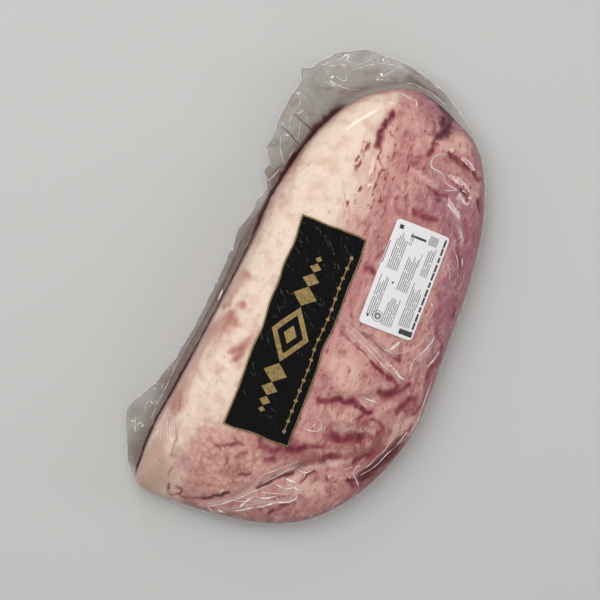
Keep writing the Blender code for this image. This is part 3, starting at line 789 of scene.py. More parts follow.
film = add_pack_form("bag_film", FILM_RINGS, FILM_SKIRT_RINGS)
spots = places(film.data)
outward = facings(film.data)
over, reach = kept(film.data, "over"), kept(film.data, "reach")
skirt, along, radius = kept(film.data, "skirt"), kept(film.data, "along"), kept(film.data, "radius")
away = outward_at(along / OUTLINE_LENGTH[-1])
edge_push = np.zeros(len(spots))
for bump_x, bump_y, bump_reach, push in EDGE_BUMPS:
    edge_push += push * np.exp(-((spots[:, 0] - bump_x) ** 2 + (spots[:, 1] - bump_y) ** 2) / bump_reach ** 2)
spots[:, :2] += away * (edge_push * reach ** 2)[:, None]
x, y, z = spots.T
loose = ease(0.0, 0.15, reach) * ease(5.0, 14.0, skirt)
tight = (1.0 - loose) * np.where(over > 0.5, 1.0, ease(2.0, 9.0, z))
ridges = np.zeros(x.size)
for height, half_width, points in CREASES:
    ridges = np.maximum(ridges, height * near_line(x, y, points, half_width))
wall = ease(0.90, 0.985, radius) * (1.0 - ease(0.0, 0.3, reach))
strip = np.column_stack([along / 6.5, z / 34.0, along * 0.0])
gathers = np.array([noise.noise(place) for place in (strip + 3.7).tolist()])
slack = 0.10 * grain(spots, (11, 8, 11), 20) + 0.8 * wall * np.abs(gathers)
crumple = np.abs(grain(spots, (17, 17, 400), 22)) + 0.5 * np.abs(grain(spots, (8, 8, 200), 23))
folds = np.zeros(x.size)
for height, half_width, points in SKIRT_FOLDS:
    folds = np.maximum(folds, height * near_line(x, y, points, half_width))
narrow = ease(8.0, 11.0, skirt) * (1.0 - ease(17.0, 24.0, skirt)) * ease(0.0, 0.2, reach)
pressed = narrow * (0.9 * np.cos(2 * math.pi * 1.7 * reach) + 0.5 * ease(0.8, 1.0, reach) * np.abs(gathers))
lift = loose * (5.5 * crumple * ease(12.0, 30.0, skirt) + folds) + pressed
furrowed = 0.6 * strokes(x, y, HIGHLIGHT_RIDGES) - 0.7 * strokes(x, y, RED_SEAMS + DARK_SLITS)
pebbled = PEBBLE_DEPTH * np.clip(patches(x, y, MOTTLE_PATCHES), 0.0, 1.0)
pebbled = pebbled * np.clip(0.3 - np.abs(grain(spots, PEBBLE, 30)), 0.0, 1.0)
wrinkled = 0.8 * strokes(x, y, FAT_WRINKLES)
push = tight * (over * (ridges + furrowed + wrinkled - 0.8 * pebbled) + slack)
moved = spots + outward * push[:, None]
moved[:, 2] += lift
set_places(film.data, moved)
at_rim = np.nonzero(reach > 0.999)[0]
at_rim = at_rim[np.argsort(along[at_rim])]
rim_line, rim_loose = moved[at_rim], ease(4.0, 12.0, skirt[at_rim])
milk = patches(x, y, MILK_PATCHES) + 0.5 * narrow + 0.15 + 1.1 * crumple
keep(film.data, "milk", np.clip(milk, 0.0, 1.0) * loose * ease(0.0, 0.15, reach))
# Beside the meat the milk is painted browner: a painted reflection of the meat, partly juice.
keep(film.data, "meat_reflection_and_juice", loose * (1.0 - ease(4.0, 16.0, skirt * reach) * (1.0 - 0.6 * narrow)))
# Painted highlight: pale along each crease and in the glare patches, kept off the dark slits.
glare_and_whitening = ridges / 2.0 + 0.9 * patches(x, y, GLARE_PATCHES) * (0.6 + grain(spots, (5, 3, 5), 24))
glare_and_whitening = glare_and_whitening * (1.0 - 0.9 * strokes(x, y, DARK_SLITS, 1.4))
keep(film.data, "crease_glare", np.clip(over * glare_and_whitening * tight, 0.0, 1.0))
# Painted shadow in the gap between meat and skirt along the seam, partly juice.
seam = round_outline(along / OUTLINE_LENGTH[-1])[:, 3]
from_seam = np.where(reach > 0.0, skirt * reach, np.hypot((1.0 - radius) * 110.0, z - seam))
from_seam = from_seam / np.interp(x, GAP_X, GAP_WIDTH) / (1.0 + 0.5 * gathers)
juice = np.interp(x, GAP_X, GAP_STRENGTH) * np.exp(-from_seam ** 2) * ease(0.3, 0.6, away[:, 1])
keep(film.data, "juice", juice * over)
spare = (over < 0.5) & (radius < 0.93) & (reach <= 0.0) | (skirt < 4.0) & (reach > 0.1)
thin_out(film, spare, ratio=0.68)

# Clear film: glossy on both sides and hardly coloured. Two loose layers are a little milky, and where
# crumpled they are milkier, which is what shows the skirt on a pale surface. Painted on it are a browner
# milk beside the meat, as its reflection and partly juice, a pale white along the tight film's creases
# and in soft patches as a painted highlight, and a dark red along the seam on the fat side as the
# shadow in the gap, partly juice.
clear, tree = new_material("clear_barrier_film")
see_through = put(tree, "BsdfTransparent", {"Color": linear("fcfbfa")}).outputs["BSDF"]
gloss = put(tree, "BsdfGlossy", {"Color": linear("ffffff"), "Roughness": 0.09}).outputs["BSDF"]
grazing = put(tree, "LayerWeight", {"Blend": 0.5}).outputs["Facing"]
grazing = put(tree, "Math", {0: grazing, 1: 5.0}, operation="POWER").outputs[0]
milky = put(tree, "Attribute", attribute_name="milk", attribute_type="GEOMETRY").outputs["Fac"]
mirror = put(tree, "Math", {0: milky, 1: 0.1, 2: 0.035}, operation="MULTIPLY_ADD").outputs[0]
mirror = put(tree, "Math", {0: grazing, 1: 0.6, 2: mirror}, operation="MULTIPLY_ADD").outputs[0]
surface = put(tree, "MixShader", {0: mirror, 1: see_through, 2: gloss}).outputs["Shader"]
# The browner milk beside the meat is a painted reflection of it, partly juice.
meat_reflection_and_juice = put(tree, "Attribute", attribute_name="meat_reflection_and_juice", attribute_type="GEOMETRY").outputs["Fac"]
milk_tone = put(tree, "Mix", {0: meat_reflection_and_juice, 6: linear("b0a9a0"), 7: linear("826a60")},
                data_type="RGBA").outputs[2]
milk_body = put(tree, "BsdfPrincipled", {"Base Color": milk_tone, "Roughness": 0.2,
                                         "IOR": 1.5}).outputs["BSDF"]
cloud = put(tree, "Math", {0: milky, 1: 0.42, 2: 0.008}, operation="MULTIPLY_ADD", use_clamp=True).outputs[0]
surface = put(tree, "MixShader", {0: cloud, 1: surface, 2: milk_body}).outputs["Shader"]
# Painted highlight: a pale white laid along the creases and in the glare patches.
crease_glare_white = put(tree, "BsdfPrincipled", {"Base Color": linear("f4e2dc"), "Roughness": 0.2}).outputs["BSDF"]
place = put(tree, "Attribute", attribute_name="crease_glare", attribute_type="GEOMETRY").outputs["Fac"]
place = put(tree, "Math", {0: place, 1: 0.34}, operation="MULTIPLY").outputs[0]
surface = put(tree, "MixShader", {0: place, 1: surface, 2: crease_glare_white}).outputs["Shader"]
# Dark red of the painted shadow in the gap, partly juice.
gap_shade_and_juice = put(tree, "BsdfPrincipled", {"Base Color": linear("42101a"), "Roughness": 0.35,
                                       "Specular IOR Level": 0.15}).outputs["BSDF"]
place = put(tree, "Attribute", attribute_name="juice", attribute_type="GEOMETRY").outputs["Fac"]
gap_shade_share = put(tree, "MapRange", {"Value": place, "From Min": 0.06, "From Max": 0.7, "To Max": 0.92},
          interpolation_type="SMOOTHSTEP").outputs["Result"]
surface = put(tree, "MixShader", {0: gap_shade_share, 1: surface, 2: gap_shade_and_juice}).outputs["Shader"]
put(tree, "OutputMaterial", {"Surface": surface})
film.data.materials.clear()
film.data.materials.append(clear)
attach(film, "root")
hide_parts("sealed_bag")


# Pinched creases: where the film has too much length it doubles into thin sharp ridges, which catch the
# light. Their tops are painted milky white in patches, partly stressed film and partly a painted glint.
# The cut rim of the bag is such a painted bright thin line too.

# A half width in mm and the points of each ridge.
PINCHES = (
    (0.6, ((163, -65), (161, -58), (156, -53), (150, -52), (146, -54), (145, -60), (144, -65), (141, -69),
        (138, -72))),
    (0.4, ((130, -70), (132, -78), (136, -84))),
    (0.5, ((202, -2), (201, -10), (200, -16))),
    (0.7, ((201, -17), (199, -20), (195, -21))),
    (0.45, ((118, -78), (117, -87), (113, -93), (108, -98))),
    (0.65, ((105, -94), (101, -101), (96, -105), (93, -107))),
    (0.4, ((105, -95), (98, -102), (94, -103))),
    (0.5, ((79, -112), (71, -115))),
    (0.3, ((84, -100), (78, -106), (72, -110), (61, -114))),
    (0.3, ((69, -99), (63, -105), (55, -108))),
    (0.4, ((27, -101), (21, -104), (13, -103))),
    (1.0, ((28, -100), (24, -102))),
    (0.5, ((-22, -32), (-26, -43), (-32, -57), (-37, -68), (-43, -79), (-46, -90))),
    (0.35, ((-17, -31), (-21, -43), (-25, -53), (-31, -65), (-36, -74), (-39, -83))),
    (1.1, ((-44, -91), (-47, -98), (-47, -102))),
    (0.45, ((-20, -58), (-24, -65), (-28, -75), (-28, -82))),
    (1.6, ((-26, -79), (-16, -85))),
    (0.3, ((-28, -85), (-25, -90), (-20, -96), (-14, -101), (-5, -107), (2, -110))),
    (0.5, ((3, -111), (-2, -114), (-10, -112), (-19, -108), (-26, -104), (-34, -103), (-41, -105))),
    (1.0, ((-11, -124), (-20, -122), (-29, -118))),
    (0.7, ((-76, -69), (-77, -77), (-77, -86))),
    (1.2, ((-76, -80), (-77, -85))),
    (0.45, ((-82, -73), (-84, -78))),
    (0.7, ((-93, -123), (-97, -122), (-104, -120), (-108, -118))),
    (0.35, ((-39, -128), (-56, -128), (-78, -129), (-100, -126))),
    (0.4, ((-189, -9), (-180, -9), (-173, -16), (-163, -27), (-153, -38))),
    (0.4, ((-188, -11), (-180, -18), (-172, -25), (-164, -32), (-160, -36))),
    (0.6, ((-230, 33), (-225, 25), (-220, 17), (-213, 9), (-207, 2), (-198, -6), (-189, -15), (-172, -32))),
    (1.0, ((-223, 6), (-219, -2), (-212, -12), (-206, -22), (-199, -31), (-194, -42), (-189, -47),
        (-185, -47))),
    (1.3, ((-215, -1), (-206, -6), (-200, -10))),
    (0.9, ((-200, -10), (-199, -19), (-193, -29))),
    (0.9, ((-210, 22), (-205, 19))),
    (1.0, ((-194, 17), (-194, 15))),
    (0.45, ((-222, 27), (-227, 27), (-230, 21))),
    (0.7, ((-226, 18), (-227, 9))),
    (0.5, ((-120, -24), (-123, -30), (-123, -37), (-121, -43), (-117, -45), (-113, -44), (-110, -41),
        (-114, -39))),
    (1.1, ((-119, -37), (-115, -39))),
    (0.4, ((-172, -44), (-168, -47), (-163, -47), (-160, -50))),
    (0.4, ((-174, -46), (-169, -50), (-164, -53))),
    (1.5, ((-174, -32), (-174, -42))),
    (0.9, ((-182, -25), (-183, -35), (-177, -44))),
    (0.7, ((-194, -15), (-191, -27), (-187, -39))),
    (0.5, ((-162, -39), (-162, -47), (-156, -53))),
    (0.45, ((-212, 8), (-208, -5), (-201, -18))),
    (0.9, ((-179, -42), (-180, -47))),
    (0.45, ((-147, -96), (-139, -103), (-131, -108), (-119, -113), (-110, -118), (-99, -124))),
    (0.4, ((-139, -97), (-134, -101), (-126, -104), (-117, -109), (-106, -112), (-101, -114))),
    (0.55, ((-161, -101), (-153, -95), (-148, -90), (-140, -90), (-138, -95))),
    (0.9, ((-152, -87), (-152, -88))),
    (0.6, ((-159, -68), (-156, -70))),
    (0.35, ((-147, -80), (-142, -86))),
    (0.3, ((56, 53), (60, 47), (63, 42))),
    (0.35, ((6, 77), (14, 76))),
    (1.1, ((-30, 89), (-41, 89))),
    # across the loose skirt on the fat side and round the far flap
    (0.6, ((152, 86), (160, 83), (165, 83))),
    (0.5, ((152, 86), (153, 80), (157, 78))),
    (0.4, ((166, 69), (162, 68), (159, 69))),
    (0.5, ((150, 88), (146, 86), (141, 86), (135, 83))),
    (0.5, ((144, 76), (136, 74), (129, 73), (131, 78))),
    (0.6, ((126, 89), (130, 84), (128, 78))),
    (0.6, ((126, 89), (117, 86), (109, 81), (103, 76))),
    (0.4, ((103, 76), (109, 75), (121, 72))),
    (0.5, ((104, 94), (100, 90), (96, 86))),
    (0.5, ((98, 79), (84, 85), (89, 91))),
    (0.4, ((188, 68), (190, 56), (190, 47), (194, 35))),
    (0.5, ((197, 60), (196, 55), (197, 50), (202, 51))),
    (0.6, ((210, 16), (213, 13), (213, 8))),
    (0.4, ((209, 24), (210, 16))),
    (0.4, ((201, 78), (204, 67), (211, 56), (217, 41), (226, 32))),
    (0.4, ((207, 50), (217, 35), (226, 22), (232, 15))),
    (0.4, ((224, 26), (227, 15), (229, 3))),
    (0.4, ((218, 72), (226, 60), (229, 47), (230, 34))),
    (0.4, ((207, 24), (219, 14), (227, 7), (226, -6))),
    (0.4, ((212, 1), (218, -11), (216, -22))),
    (0.4, ((218, -17), (215, -34), (210, -48))),
    # along the lower flap
    (0.4, ((-152, 115), (-159, 118), (-167, 117))),
    (0.5, ((-175, 123), (-182, 121), (-188, 118))),
    (0.4, ((-109, 105), (-132, 106), (-154, 108), (-173, 109))),
    (0.35, ((-135, 110), (-142, 110))),
)
# Fine pleats over the corner of the fat: the first one's foot and the step to the next, the first
# one's run and how it grows, and the half width of each, in mm.
PLEAT_COUNT = 15
PLEAT_FOOT, PLEAT_STEP = (-184, 92), (1.25, -2.0)
PLEAT_RUN, PLEAT_GROWTH, PLEAT_HALF_WIDTH = (14.0, 5.0), (2.0, 0.8), 0.26
# The rim's ridge: its half width and waver in mm. It takes every second point of the film's edge.
RIM_HALF_WIDTH, RIM_WAVER, RIM_EVERY = 0.35, 0.25, 2
ABOVE_PACK, DOWN = 0.2, Vector((0.0, 0.0, -1.0))       # where a ray starts, in m, and its direction


def add_ridges(name, rows, carrier, sunk=0.35):
    """Thin ridges that taper to their ends, on lines drawn on the carrier: a half width and points each."""
    tree = BVHTree.FromObject(carrier, bpy.context.evaluated_depsgraph_get())
    curve = bpy.data.curves.new(name, "CURVE")
    curve.dimensions = "3D"
    curve.bevel_depth, curve.bevel_resolution, curve.use_fill_caps = MM, 1, True
    for half_width, points in rows:
        flat = smooth_rows(points, 7, closed=False) if len(points) > 2 else np.linspace(*points, 9)
        starts = [Vector((px * MM, py * MM, ABOVE_PACK)) for px, py in flat - PLAN_CENTRE]
        hits = [tree.ray_cast(start, DOWN)[0] for start in starts]
        hits = [hit for hit in hits if hit is not None]
        spline = curve.splines.new("POLY")
        spline.points.add(len(hits) - 1)
        for order, (point, hit) in enumerate(zip(spline.points, hits)):
            swell = math.sin(math.pi * (order + 0.6) / (len(hits) + 0.2)) ** 0.6
            unevenness = 1.0 + 0.4 * noise.noise(hit * 300.0)
            point.radius = half_width * swell * unevenness
            point.co = (hit.x, hit.y, hit.z - sunk * point.radius * MM, 1.0)
    return curve


def made_mesh(curve, name):
    """The curve's swept form as a mesh piece, with its caps welded."""
    piece = bpy.data.objects.new(name, curve)
    bpy.context.scene.collection.objects.link(piece)
    bpy.ops.object.select_all(action="DESELECT")
    piece.select_set(True)
    bpy.context.view_layer.objects.active = piece
    bpy.ops.object.convert(target="MESH")
    piece = bpy.context.object
    bpy.ops.object.mode_set(mode="EDIT")
    bpy.ops.mesh.select_all(action="SELECT")
    bpy.ops.mesh.remove_doubles(threshold=0.000001)
    bpy.ops.mesh.normals_make_consistent(inside=False)
    bpy.ops.object.mode_set(mode="OBJECT")
    bpy.ops.object.shade_smooth()
    piece.name = piece.data.name = name
    return piece


pleats = []
for number in range(PLEAT_COUNT):
    foot_x = PLEAT_FOOT[0] + PLEAT_STEP[0] * number
    foot_y = PLEAT_FOOT[1] + PLEAT_STEP[1] * number
    uneven = 1.0 + 0.5 * noise.noise(Vector((number * 1.7, 0.3, 0.0)))
    run_x = (PLEAT_RUN[0] + PLEAT_GROWTH[0] * number) * uneven
    run_y = (PLEAT_RUN[1] + PLEAT_GROWTH[1] * number) * uneven
    pleats.append((PLEAT_HALF_WIDTH, ((foot_x, foot_y), (foot_x + run_x / 2, foot_y + run_y / 2 + 0.6),
                          (foot_x + run_x, foot_y + run_y))))
pinches = add_ridges("film_pinch_glints", PINCHES + tuple(pleats), film)
rim = pinches.splines.new("POLY")
rim_places = (rim_line[::RIM_EVERY] - np.array((*PLAN_CENTRE, 0.0))) * MM
rim.points.add(len(rim_places) - 1)
for point, place, looseness in zip(rim.points, rim_places, rim_loose[::RIM_EVERY]):
    point.co = (*place, 1.0)
    uneven = RIM_WAVER * abs(noise.noise(Vector(place) * 160.0))
    point.radius = RIM_HALF_WIDTH * (0.5 + 0.5 * looseness) + uneven
rim.use_cyclic_u = True
creases = made_mesh(pinches, "film_pinch_glints")

# Film at a pinch: milky white in patches, partly stressed whitening and partly a painted glint, glossy,
# and clear in between.
pinch_glint_film, tree = new_material("film_whitening_and_painted_glint")
see_through = put(tree, "BsdfTransparent", {"Color": linear("ffffff")}).outputs["BSDF"]
pinch_glint_white = put(tree, "BsdfPrincipled", {"Base Color": linear("fff6f2"), "Roughness": 0.12,
                                        "IOR": 1.5}).outputs["BSDF"]
where = put(tree, "TexCoord").outputs["Object"]
patchy = put(tree, "TexNoise", {"Vector": where, "Scale": 110.0, "Detail": 1.0}).outputs["Fac"]
patchy = put(tree, "MapRange", {"Value": patchy, "From Min": 0.36, "From Max": 0.62, "To Min": 0.2,
                                "To Max": 0.85}).outputs["Result"]
surface = put(tree, "MixShader", {0: patchy, 1: see_through, 2: pinch_glint_white}).outputs["Shader"]
put(tree, "OutputMaterial", {"Surface": surface})
creases.data.materials.append(pinch_glint_film)
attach(creases, "root")


# Trapped juice: thin meat juice that has crept along the folds of the loose film, in threads about a
# millimetre wide. It is modelled as fine ridges that lie on the film.

# A half width in mm and the points of each thread.
JUICE_LINES = (
    (0.45, ((135, 92), (133, 84), (128, 75), (123, 66))),
    (0.5, ((151, 85), (147, 75), (144, 67), (140, 60))),
    (0.4, ((77, 83), (72, 79), (63, 82))),
    (0.35, ((30, 89), (-20, 90), (-60, 95), (-104, 102))),
)
juice = made_mesh(add_ridges("trapped_juice", JUICE_LINES, film), "trapped_juice")
# Thin juice: brown red, wet, and partly seen through.
wet_juice, tree = new_material("thin_meat_juice")
see_through = put(tree, "BsdfTransparent", {"Color": linear("ffffff")}).outputs["BSDF"]
brown = put(tree, "BsdfPrincipled", {"Base Color": linear("5a342e"), "Roughness": 0.3}).outputs["BSDF"]
surface = put(tree, "MixShader", {0: 0.75, 1: see_through, 2: brown}).outputs["Shader"]
put(tree, "OutputMaterial", {"Surface": surface})
juice.data.materials.append(wet_juice)
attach(juice, "root")


# The front label: a black printed film panel stuck to the bag, so it takes the bag's creases. It starts
# as a flat grid that is laid on the film.

FRONT_CENTRE, FRONT_SIZE = (-41.5, 9.5), (207.0, 64.0)
LABEL_LIFT, PRINT_LIFT = 0.35, 0.05       # mm above what carries it
WAIST = (-50, 14.0, 1.8)               # where the label is drawn in, over what length and how far, mm
CRINKLE, CRINKLE_SIZE = 0.55, (9.0, 6.0, 9.0)          # how high the fine crinkles stand, and their size, mm
PANEL_CELL, PANEL_THICKNESS = 0.95, 0.12
# Wrinkles pressed into the label: height and half width in mm, and the points of each.
WRINKLES = (
    (1.3, 1.3, ((-5, 5), (-10, -7), (-17, -22))),
    (0.9, 1.0, ((-11, 29), (-10, 15), (-10, 1), (-16, -15))),
    (0.9, 1.0, ((-13, 16), (-18, 2), (-23, -14))),
    (0.8, 1.0, ((51, 16), (44, 8), (36, 2))),
    (0.8, 1.0, ((-76, 0), (-78, -11), (-81, -24))),
    (0.8, 1.0, ((-64, 34), (-67, 23), (-67, 11))),
    (0.8, 1.0, ((-94, 34), (-96, 22), (-102, 10))),
    (0.7, 0.9, ((-119, 35), (-119, 19), (-122, 4))),
    (0.7, 0.9, ((37, 39), (31, 29), (22, 23))),
    (0.60, 0.8, ((58, 44), (52, 36), (50, 30))),
    (0.60, 0.7, ((50, 40), (38, 36))),
    (0.50, 0.7, ((44, 38), (36, 33), (30, 35))),
    (0.50, 0.8, ((27, 40), (20, 33))),
    (0.50, 0.7, ((12, 40), (2, 36), (-8, 39))),
    (0.40, 1.1, ((40, 22), (20, 4), (-6, -16))),
    (0.50, 0.8, ((-10, 0), (-15, -18), (-18, -22))),
    (0.40, 1.0, ((-52, 38), (-60, 20), (-58, 8))),
    (0.40, 1.1, ((-92, 36), (-104, 20), (-108, 6))),
    (0.50, 0.8, ((-112, 34), (-122, 14), (-118, -4))),
    (0.40, 0.9, ((-126, 30), (-134, 12), (-132, -6))),
    (0.40, 0.9, ((-30, -8), (-44, -16), (-50, -22))),
)


def waver(piece):
    """Moves a flat label piece in its plane as the film draws the label in and out along its edges."""
    spots = places(piece.data)
    offset = spots[:, :2] - FRONT_CENTRE
    share = offset / (np.array(FRONT_SIZE) / 2)
    side = np.column_stack([spots[:, 0] / 26.0, share[:, 1] * 0.7, 0.0 * spots[:, 0]])
    end = np.column_stack([spots[:, 1] / 18.0, share[:, 0] * 0.7, 0.0 * spots[:, 0] + 5.0])
    waist = WAIST[2] * np.exp(-((spots[:, 0] - WAIST[0]) / WAIST[1]) ** 2)
    drawn = np.array([noise.noise(place) for place in side.tolist()]) * 2.0 * np.abs(share[:, 1])
    spots[:, 1] += drawn - waist * share[:, 1]
    spots[:, 0] += np.array([noise.noise(place) for place in end.tolist()]) * 2.0 * np.abs(share[:, 0])
    set_places(piece.data, spots)


def lay_on(piece, carrier, lift):
    """Drops each point of a flat piece straight down onto the carrier, and lifts it by so many mm."""
    tree = BVHTree.FromObject(carrier, bpy.context.evaluated_depsgraph_get())
    flat = np.empty(len(piece.data.vertices) * 3)
    piece.data.vertices.foreach_get("co", flat)
    points = flat.reshape(-1, 3)
    for point in points:
        hit = tree.ray_cast(Vector((point[0], point[1], ABOVE_PACK)), DOWN)[0]
        point[2] = hit.z + lift * MM
    piece.data.vertices.foreach_set("co", points.ravel())
    piece.data.update()


def add_patch(centre, size, cell, turn=0.0):
    """A flat grid of cells at its place in the plan, selected. In edit mode it joins the piece in hand."""
    columns, rows = (max(1, round(side / cell)) for side in size)
    middle = (*(np.array(centre) - PLAN_CENTRE) * MM, 0.0)
    bpy.ops.mesh.primitive_grid_add(x_subdivisions=columns, y_subdivisions=rows, size=1.0, location=middle,
                                    rotation=(0.0, 0.0, turn))
    if bpy.context.mode == "OBJECT":
        bpy.ops.object.transform_apply(location=True, rotation=True, scale=True)
        bpy.ops.object.mode_set(mode="EDIT")
        bpy.ops.mesh.select_all(action="SELECT")
    bpy.ops.transform.resize(value=(size[0] * MM, size[1] * MM, 1.0), center_override=middle)


def add_panel(name, centre, size, cell):
    """A patch as a piece of its own, left in edit mode."""
    bpy.ops.object.select_all(action="DESELECT")
    add_patch(centre, size, cell)
    piece = bpy.context.object
    piece.name = piece.data.name = name
    return piece


def thicken(piece, thickness):
    """Gives a laid sheet its thickness, outwards, and shades it smooth."""
    skin = piece.modifiers.new("stock", "SOLIDIFY")
    skin.thickness, skin.offset = thickness * MM, 1.0
    bpy.ops.object.select_all(action="DESELECT")
    piece.select_set(True)
    bpy.context.view_layer.objects.active = piece
    bpy.ops.object.modifier_apply(modifier="stock")
    bpy.ops.object.shade_smooth_by_angle(angle=math.radians(40))


panel = add_panel("front_label_panel", FRONT_CENTRE, FRONT_SIZE, PANEL_CELL)
bpy.ops.object.mode_set(mode="OBJECT")
waver(panel)
lay_on(panel, film, LABEL_LIFT)
spots = places(panel.data)
rise = np.zeros(len(spots))
for height, half_width, points in WRINKLES:
    rise = np.maximum(rise, height * near_line(spots[:, 0], spots[:, 1], points, half_width))
crinkled = np.clip(1.0 - 5.0 * np.abs(grain(spots, CRINKLE_SIZE, 41)), 0.0, 1.0)
crinkled = crinkled * ease(-0.25, 0.3, grain(spots, (22, 18, 22), 42))
spots[:, 2] += rise + CRINKLE * crinkled
set_places(panel.data, spots)
thicken(panel, PANEL_THICKNESS)

# Black ink under satin film: near black and softly glossy, with fine folds and slightly greyer rubs.
black, tree = new_material("black_satin_film_print")
where = put(tree, "TexCoord").outputs["Object"]
rub = put(tree, "TexNoise", {"Vector": where, "Scale": 120.0, "Detail": 5.0, "Roughness": 0.7}).outputs["Fac"]
fold = put(tree, "TexNoise", {"Vector": where, "Scale": 85.0, "Detail": 1.5,
                              "Distortion": 0.6}).outputs["Fac"]
fold = put(tree, "Math", {0: fold, 1: 0.5}, operation="SUBTRACT").outputs[0]
fold = put(tree, "Math", {0: fold}, operation="ABSOLUTE").outputs[0]
fold = put(tree, "MapRange", {"Value": fold, "From Max": 0.07, "To Min": 1.0, "To Max": 0.0},
           interpolation_type="SMOOTHERSTEP").outputs["Result"]
rubbed = put(tree, "MapRange", {"Value": rub, "From Min": 0.45, "From Max": 0.75},
             interpolation_type="SMOOTHSTEP").outputs["Result"]
shade = put(tree, "Mix", {0: rubbed, 6: linear("030304"), 7: linear("0b0b0d")}, data_type="RGBA").outputs[2]
dull = put(tree, "MapRange", {"Value": rub, "From Min": 0.3, "From Max": 0.7, "To Min": 0.12,
                              "To Max": 0.26}).outputs["Result"]
crumpled = put(tree, "Math", {0: rub, 1: 0.3, 2: fold}, operation="MULTIPLY_ADD").outputs[0]
ripple = put(tree, "Bump", {"Strength": 0.5, "Distance": 0.0006, "Height": crumpled}).outputs["Normal"]
shader = put(tree, "BsdfPrincipled", {"Base Color": shade, "Roughness": dull, "IOR": 1.5,
                                      "Specular IOR Level": 0.3, "Normal": ripple})
put(tree, "OutputMaterial", {"Surface": shader.outputs["BSDF"]})
panel.data.materials.append(black)
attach(panel, "root")
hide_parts("front_label")


# Fine pale lines on the label's face, painted glints along its crinkles: a half width and points each.
LABEL_GLINTS = (
    (0.24, ((-11, 28), (-9, 17), (-9, 8), (-11, -7))),
    (0.2, ((-9, 31), (-11, 28))),
    (0.16, ((-9, 37), (-14, 33))),
    (0.18, ((-24, 34), (-30, 29))),
    (0.14, ((-27, 30), (-23, 28))),
    (0.14, ((-16, 29), (-22, 28))),
    (0.16, ((-34, 34), (-36, 29))),
    (0.12, ((-22, 8), (-26, 3))),
    (0.16, ((54, 42), (55, 36))),
    (0.14, ((47, 41), (44, 34))),
    (0.14, ((38, 38), (37, 33))),
    (0.14, ((31, 38), (27, 31))),
    (0.12, ((44, 32), (39, 28))),
    (0.12, ((55, 28), (54, 22))),
    (0.14, ((50, 16), (42, 8))),
    (0.14, ((-81, 37), (-92, 30))),
    (0.12, ((-90, 36), (-94, 31))),
    (0.14, ((-109, 35), (-115, 30))),
    (0.16, ((-53, 39), (-60, 35))),
    (0.14, ((-55, 32), (-61, 28))),
    (0.12, ((-29, 0), (-32, -5))),
    (0.12, ((-116, 6), (-118, -1))),
    (0.12, ((-123, 9), (-125, -1))),
    (0.14, ((-17, -15), (-19, -23))),
    (0.12, ((-59, 2), (-60, -6))),
    (0.12, ((15, 40), (11, 35))),
)
glint_lines = made_mesh(add_ridges("label_glint_lines", LABEL_GLINTS, panel, 0.8), "label_glint_lines")
# A painted glint: a thin pale grey mark that the black shows through.
label_glint_paint, tree = new_material("painted_label_glints")
see_through = put(tree, "BsdfTransparent", {"Color": linear("ffffff")}).outputs["BSDF"]
pale_and_highlight = put(tree, "BsdfPrincipled", {"Base Color": linear("b9bcc0"), "Roughness": 0.3}).outputs["BSDF"]
surface = put(tree, "MixShader", {0: 0.45, 1: see_through, 2: pale_and_highlight}).outputs["Shader"]
put(tree, "OutputMaterial", {"Surface": surface})
glint_lines.data.materials.append(label_glint_paint)
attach(glint_lines, "root")


# The gold print on it: a narrow edge all round, a row of lozenges that shrink away from a large open
# one, and a fine rule with studs along one side. It is matt metallic ink a few hundredths thick.

PRINT_CELL, GOLD_THICKNESS = 1.1, 0.05
GOLD_EDGE, GOLD_INSET = 0.8, 0.4
LOZENGE_MIDDLE = (-46.0, 13.0)
OPEN_LOZENGE, OPEN_LOZENGE_BAND = (27.0, 19.0), 0.70     # half length and half width in mm, inner to outer
SMALL_LOZENGES = ((0.0, 9.0, 6.5), (38.0, 9.5, 11.5), (54.0, 6.5, 8.0), (66.0, 4.5, 5.5), (74.5, 2.8, 3.4))
RULE_LINE, RULE_LENGTH, RULE_WIDTH = -14.0, 172.0, 0.8
STUD_COUNT, STUD_SIZE = 18, 2.6


def add_lozenge(centre, half_length, half_width):
    middle = (*(np.array(centre) - PLAN_CENTRE) * MM, 0.0)
    add_patch(centre, (half_width * 1.4142, half_width * 1.4142), PRINT_CELL, math.radians(45))
    bpy.ops.transform.resize(value=(half_length / half_width, 1.0, 1.0), center_override=middle)


def add_ring(centre, radius, inner_share, corners, stretch, cuts):
    """A flat ring, or an open lozenge from four corners, in the piece being edited."""
    middle = (*(np.array(centre) - PLAN_CENTRE) * MM, 0.0)
    bpy.ops.mesh.select_all(action="DESELECT")
    bpy.ops.mesh.primitive_circle_add(vertices=corners, radius=radius * MM, fill_type="NOTHING",
                                      location=middle)
    bpy.ops.transform.resize(value=(stretch, 1.0, 1.0), center_override=middle)
    bpy.ops.mesh.extrude_region_move()
    bpy.ops.transform.resize(value=(inner_share, inner_share, 1.0), center_override=middle)
    bpy.ops.mesh.select_more()
    bpy.ops.mesh.subdivide(number_cuts=cuts)
    bpy.ops.mesh.flip_normals()


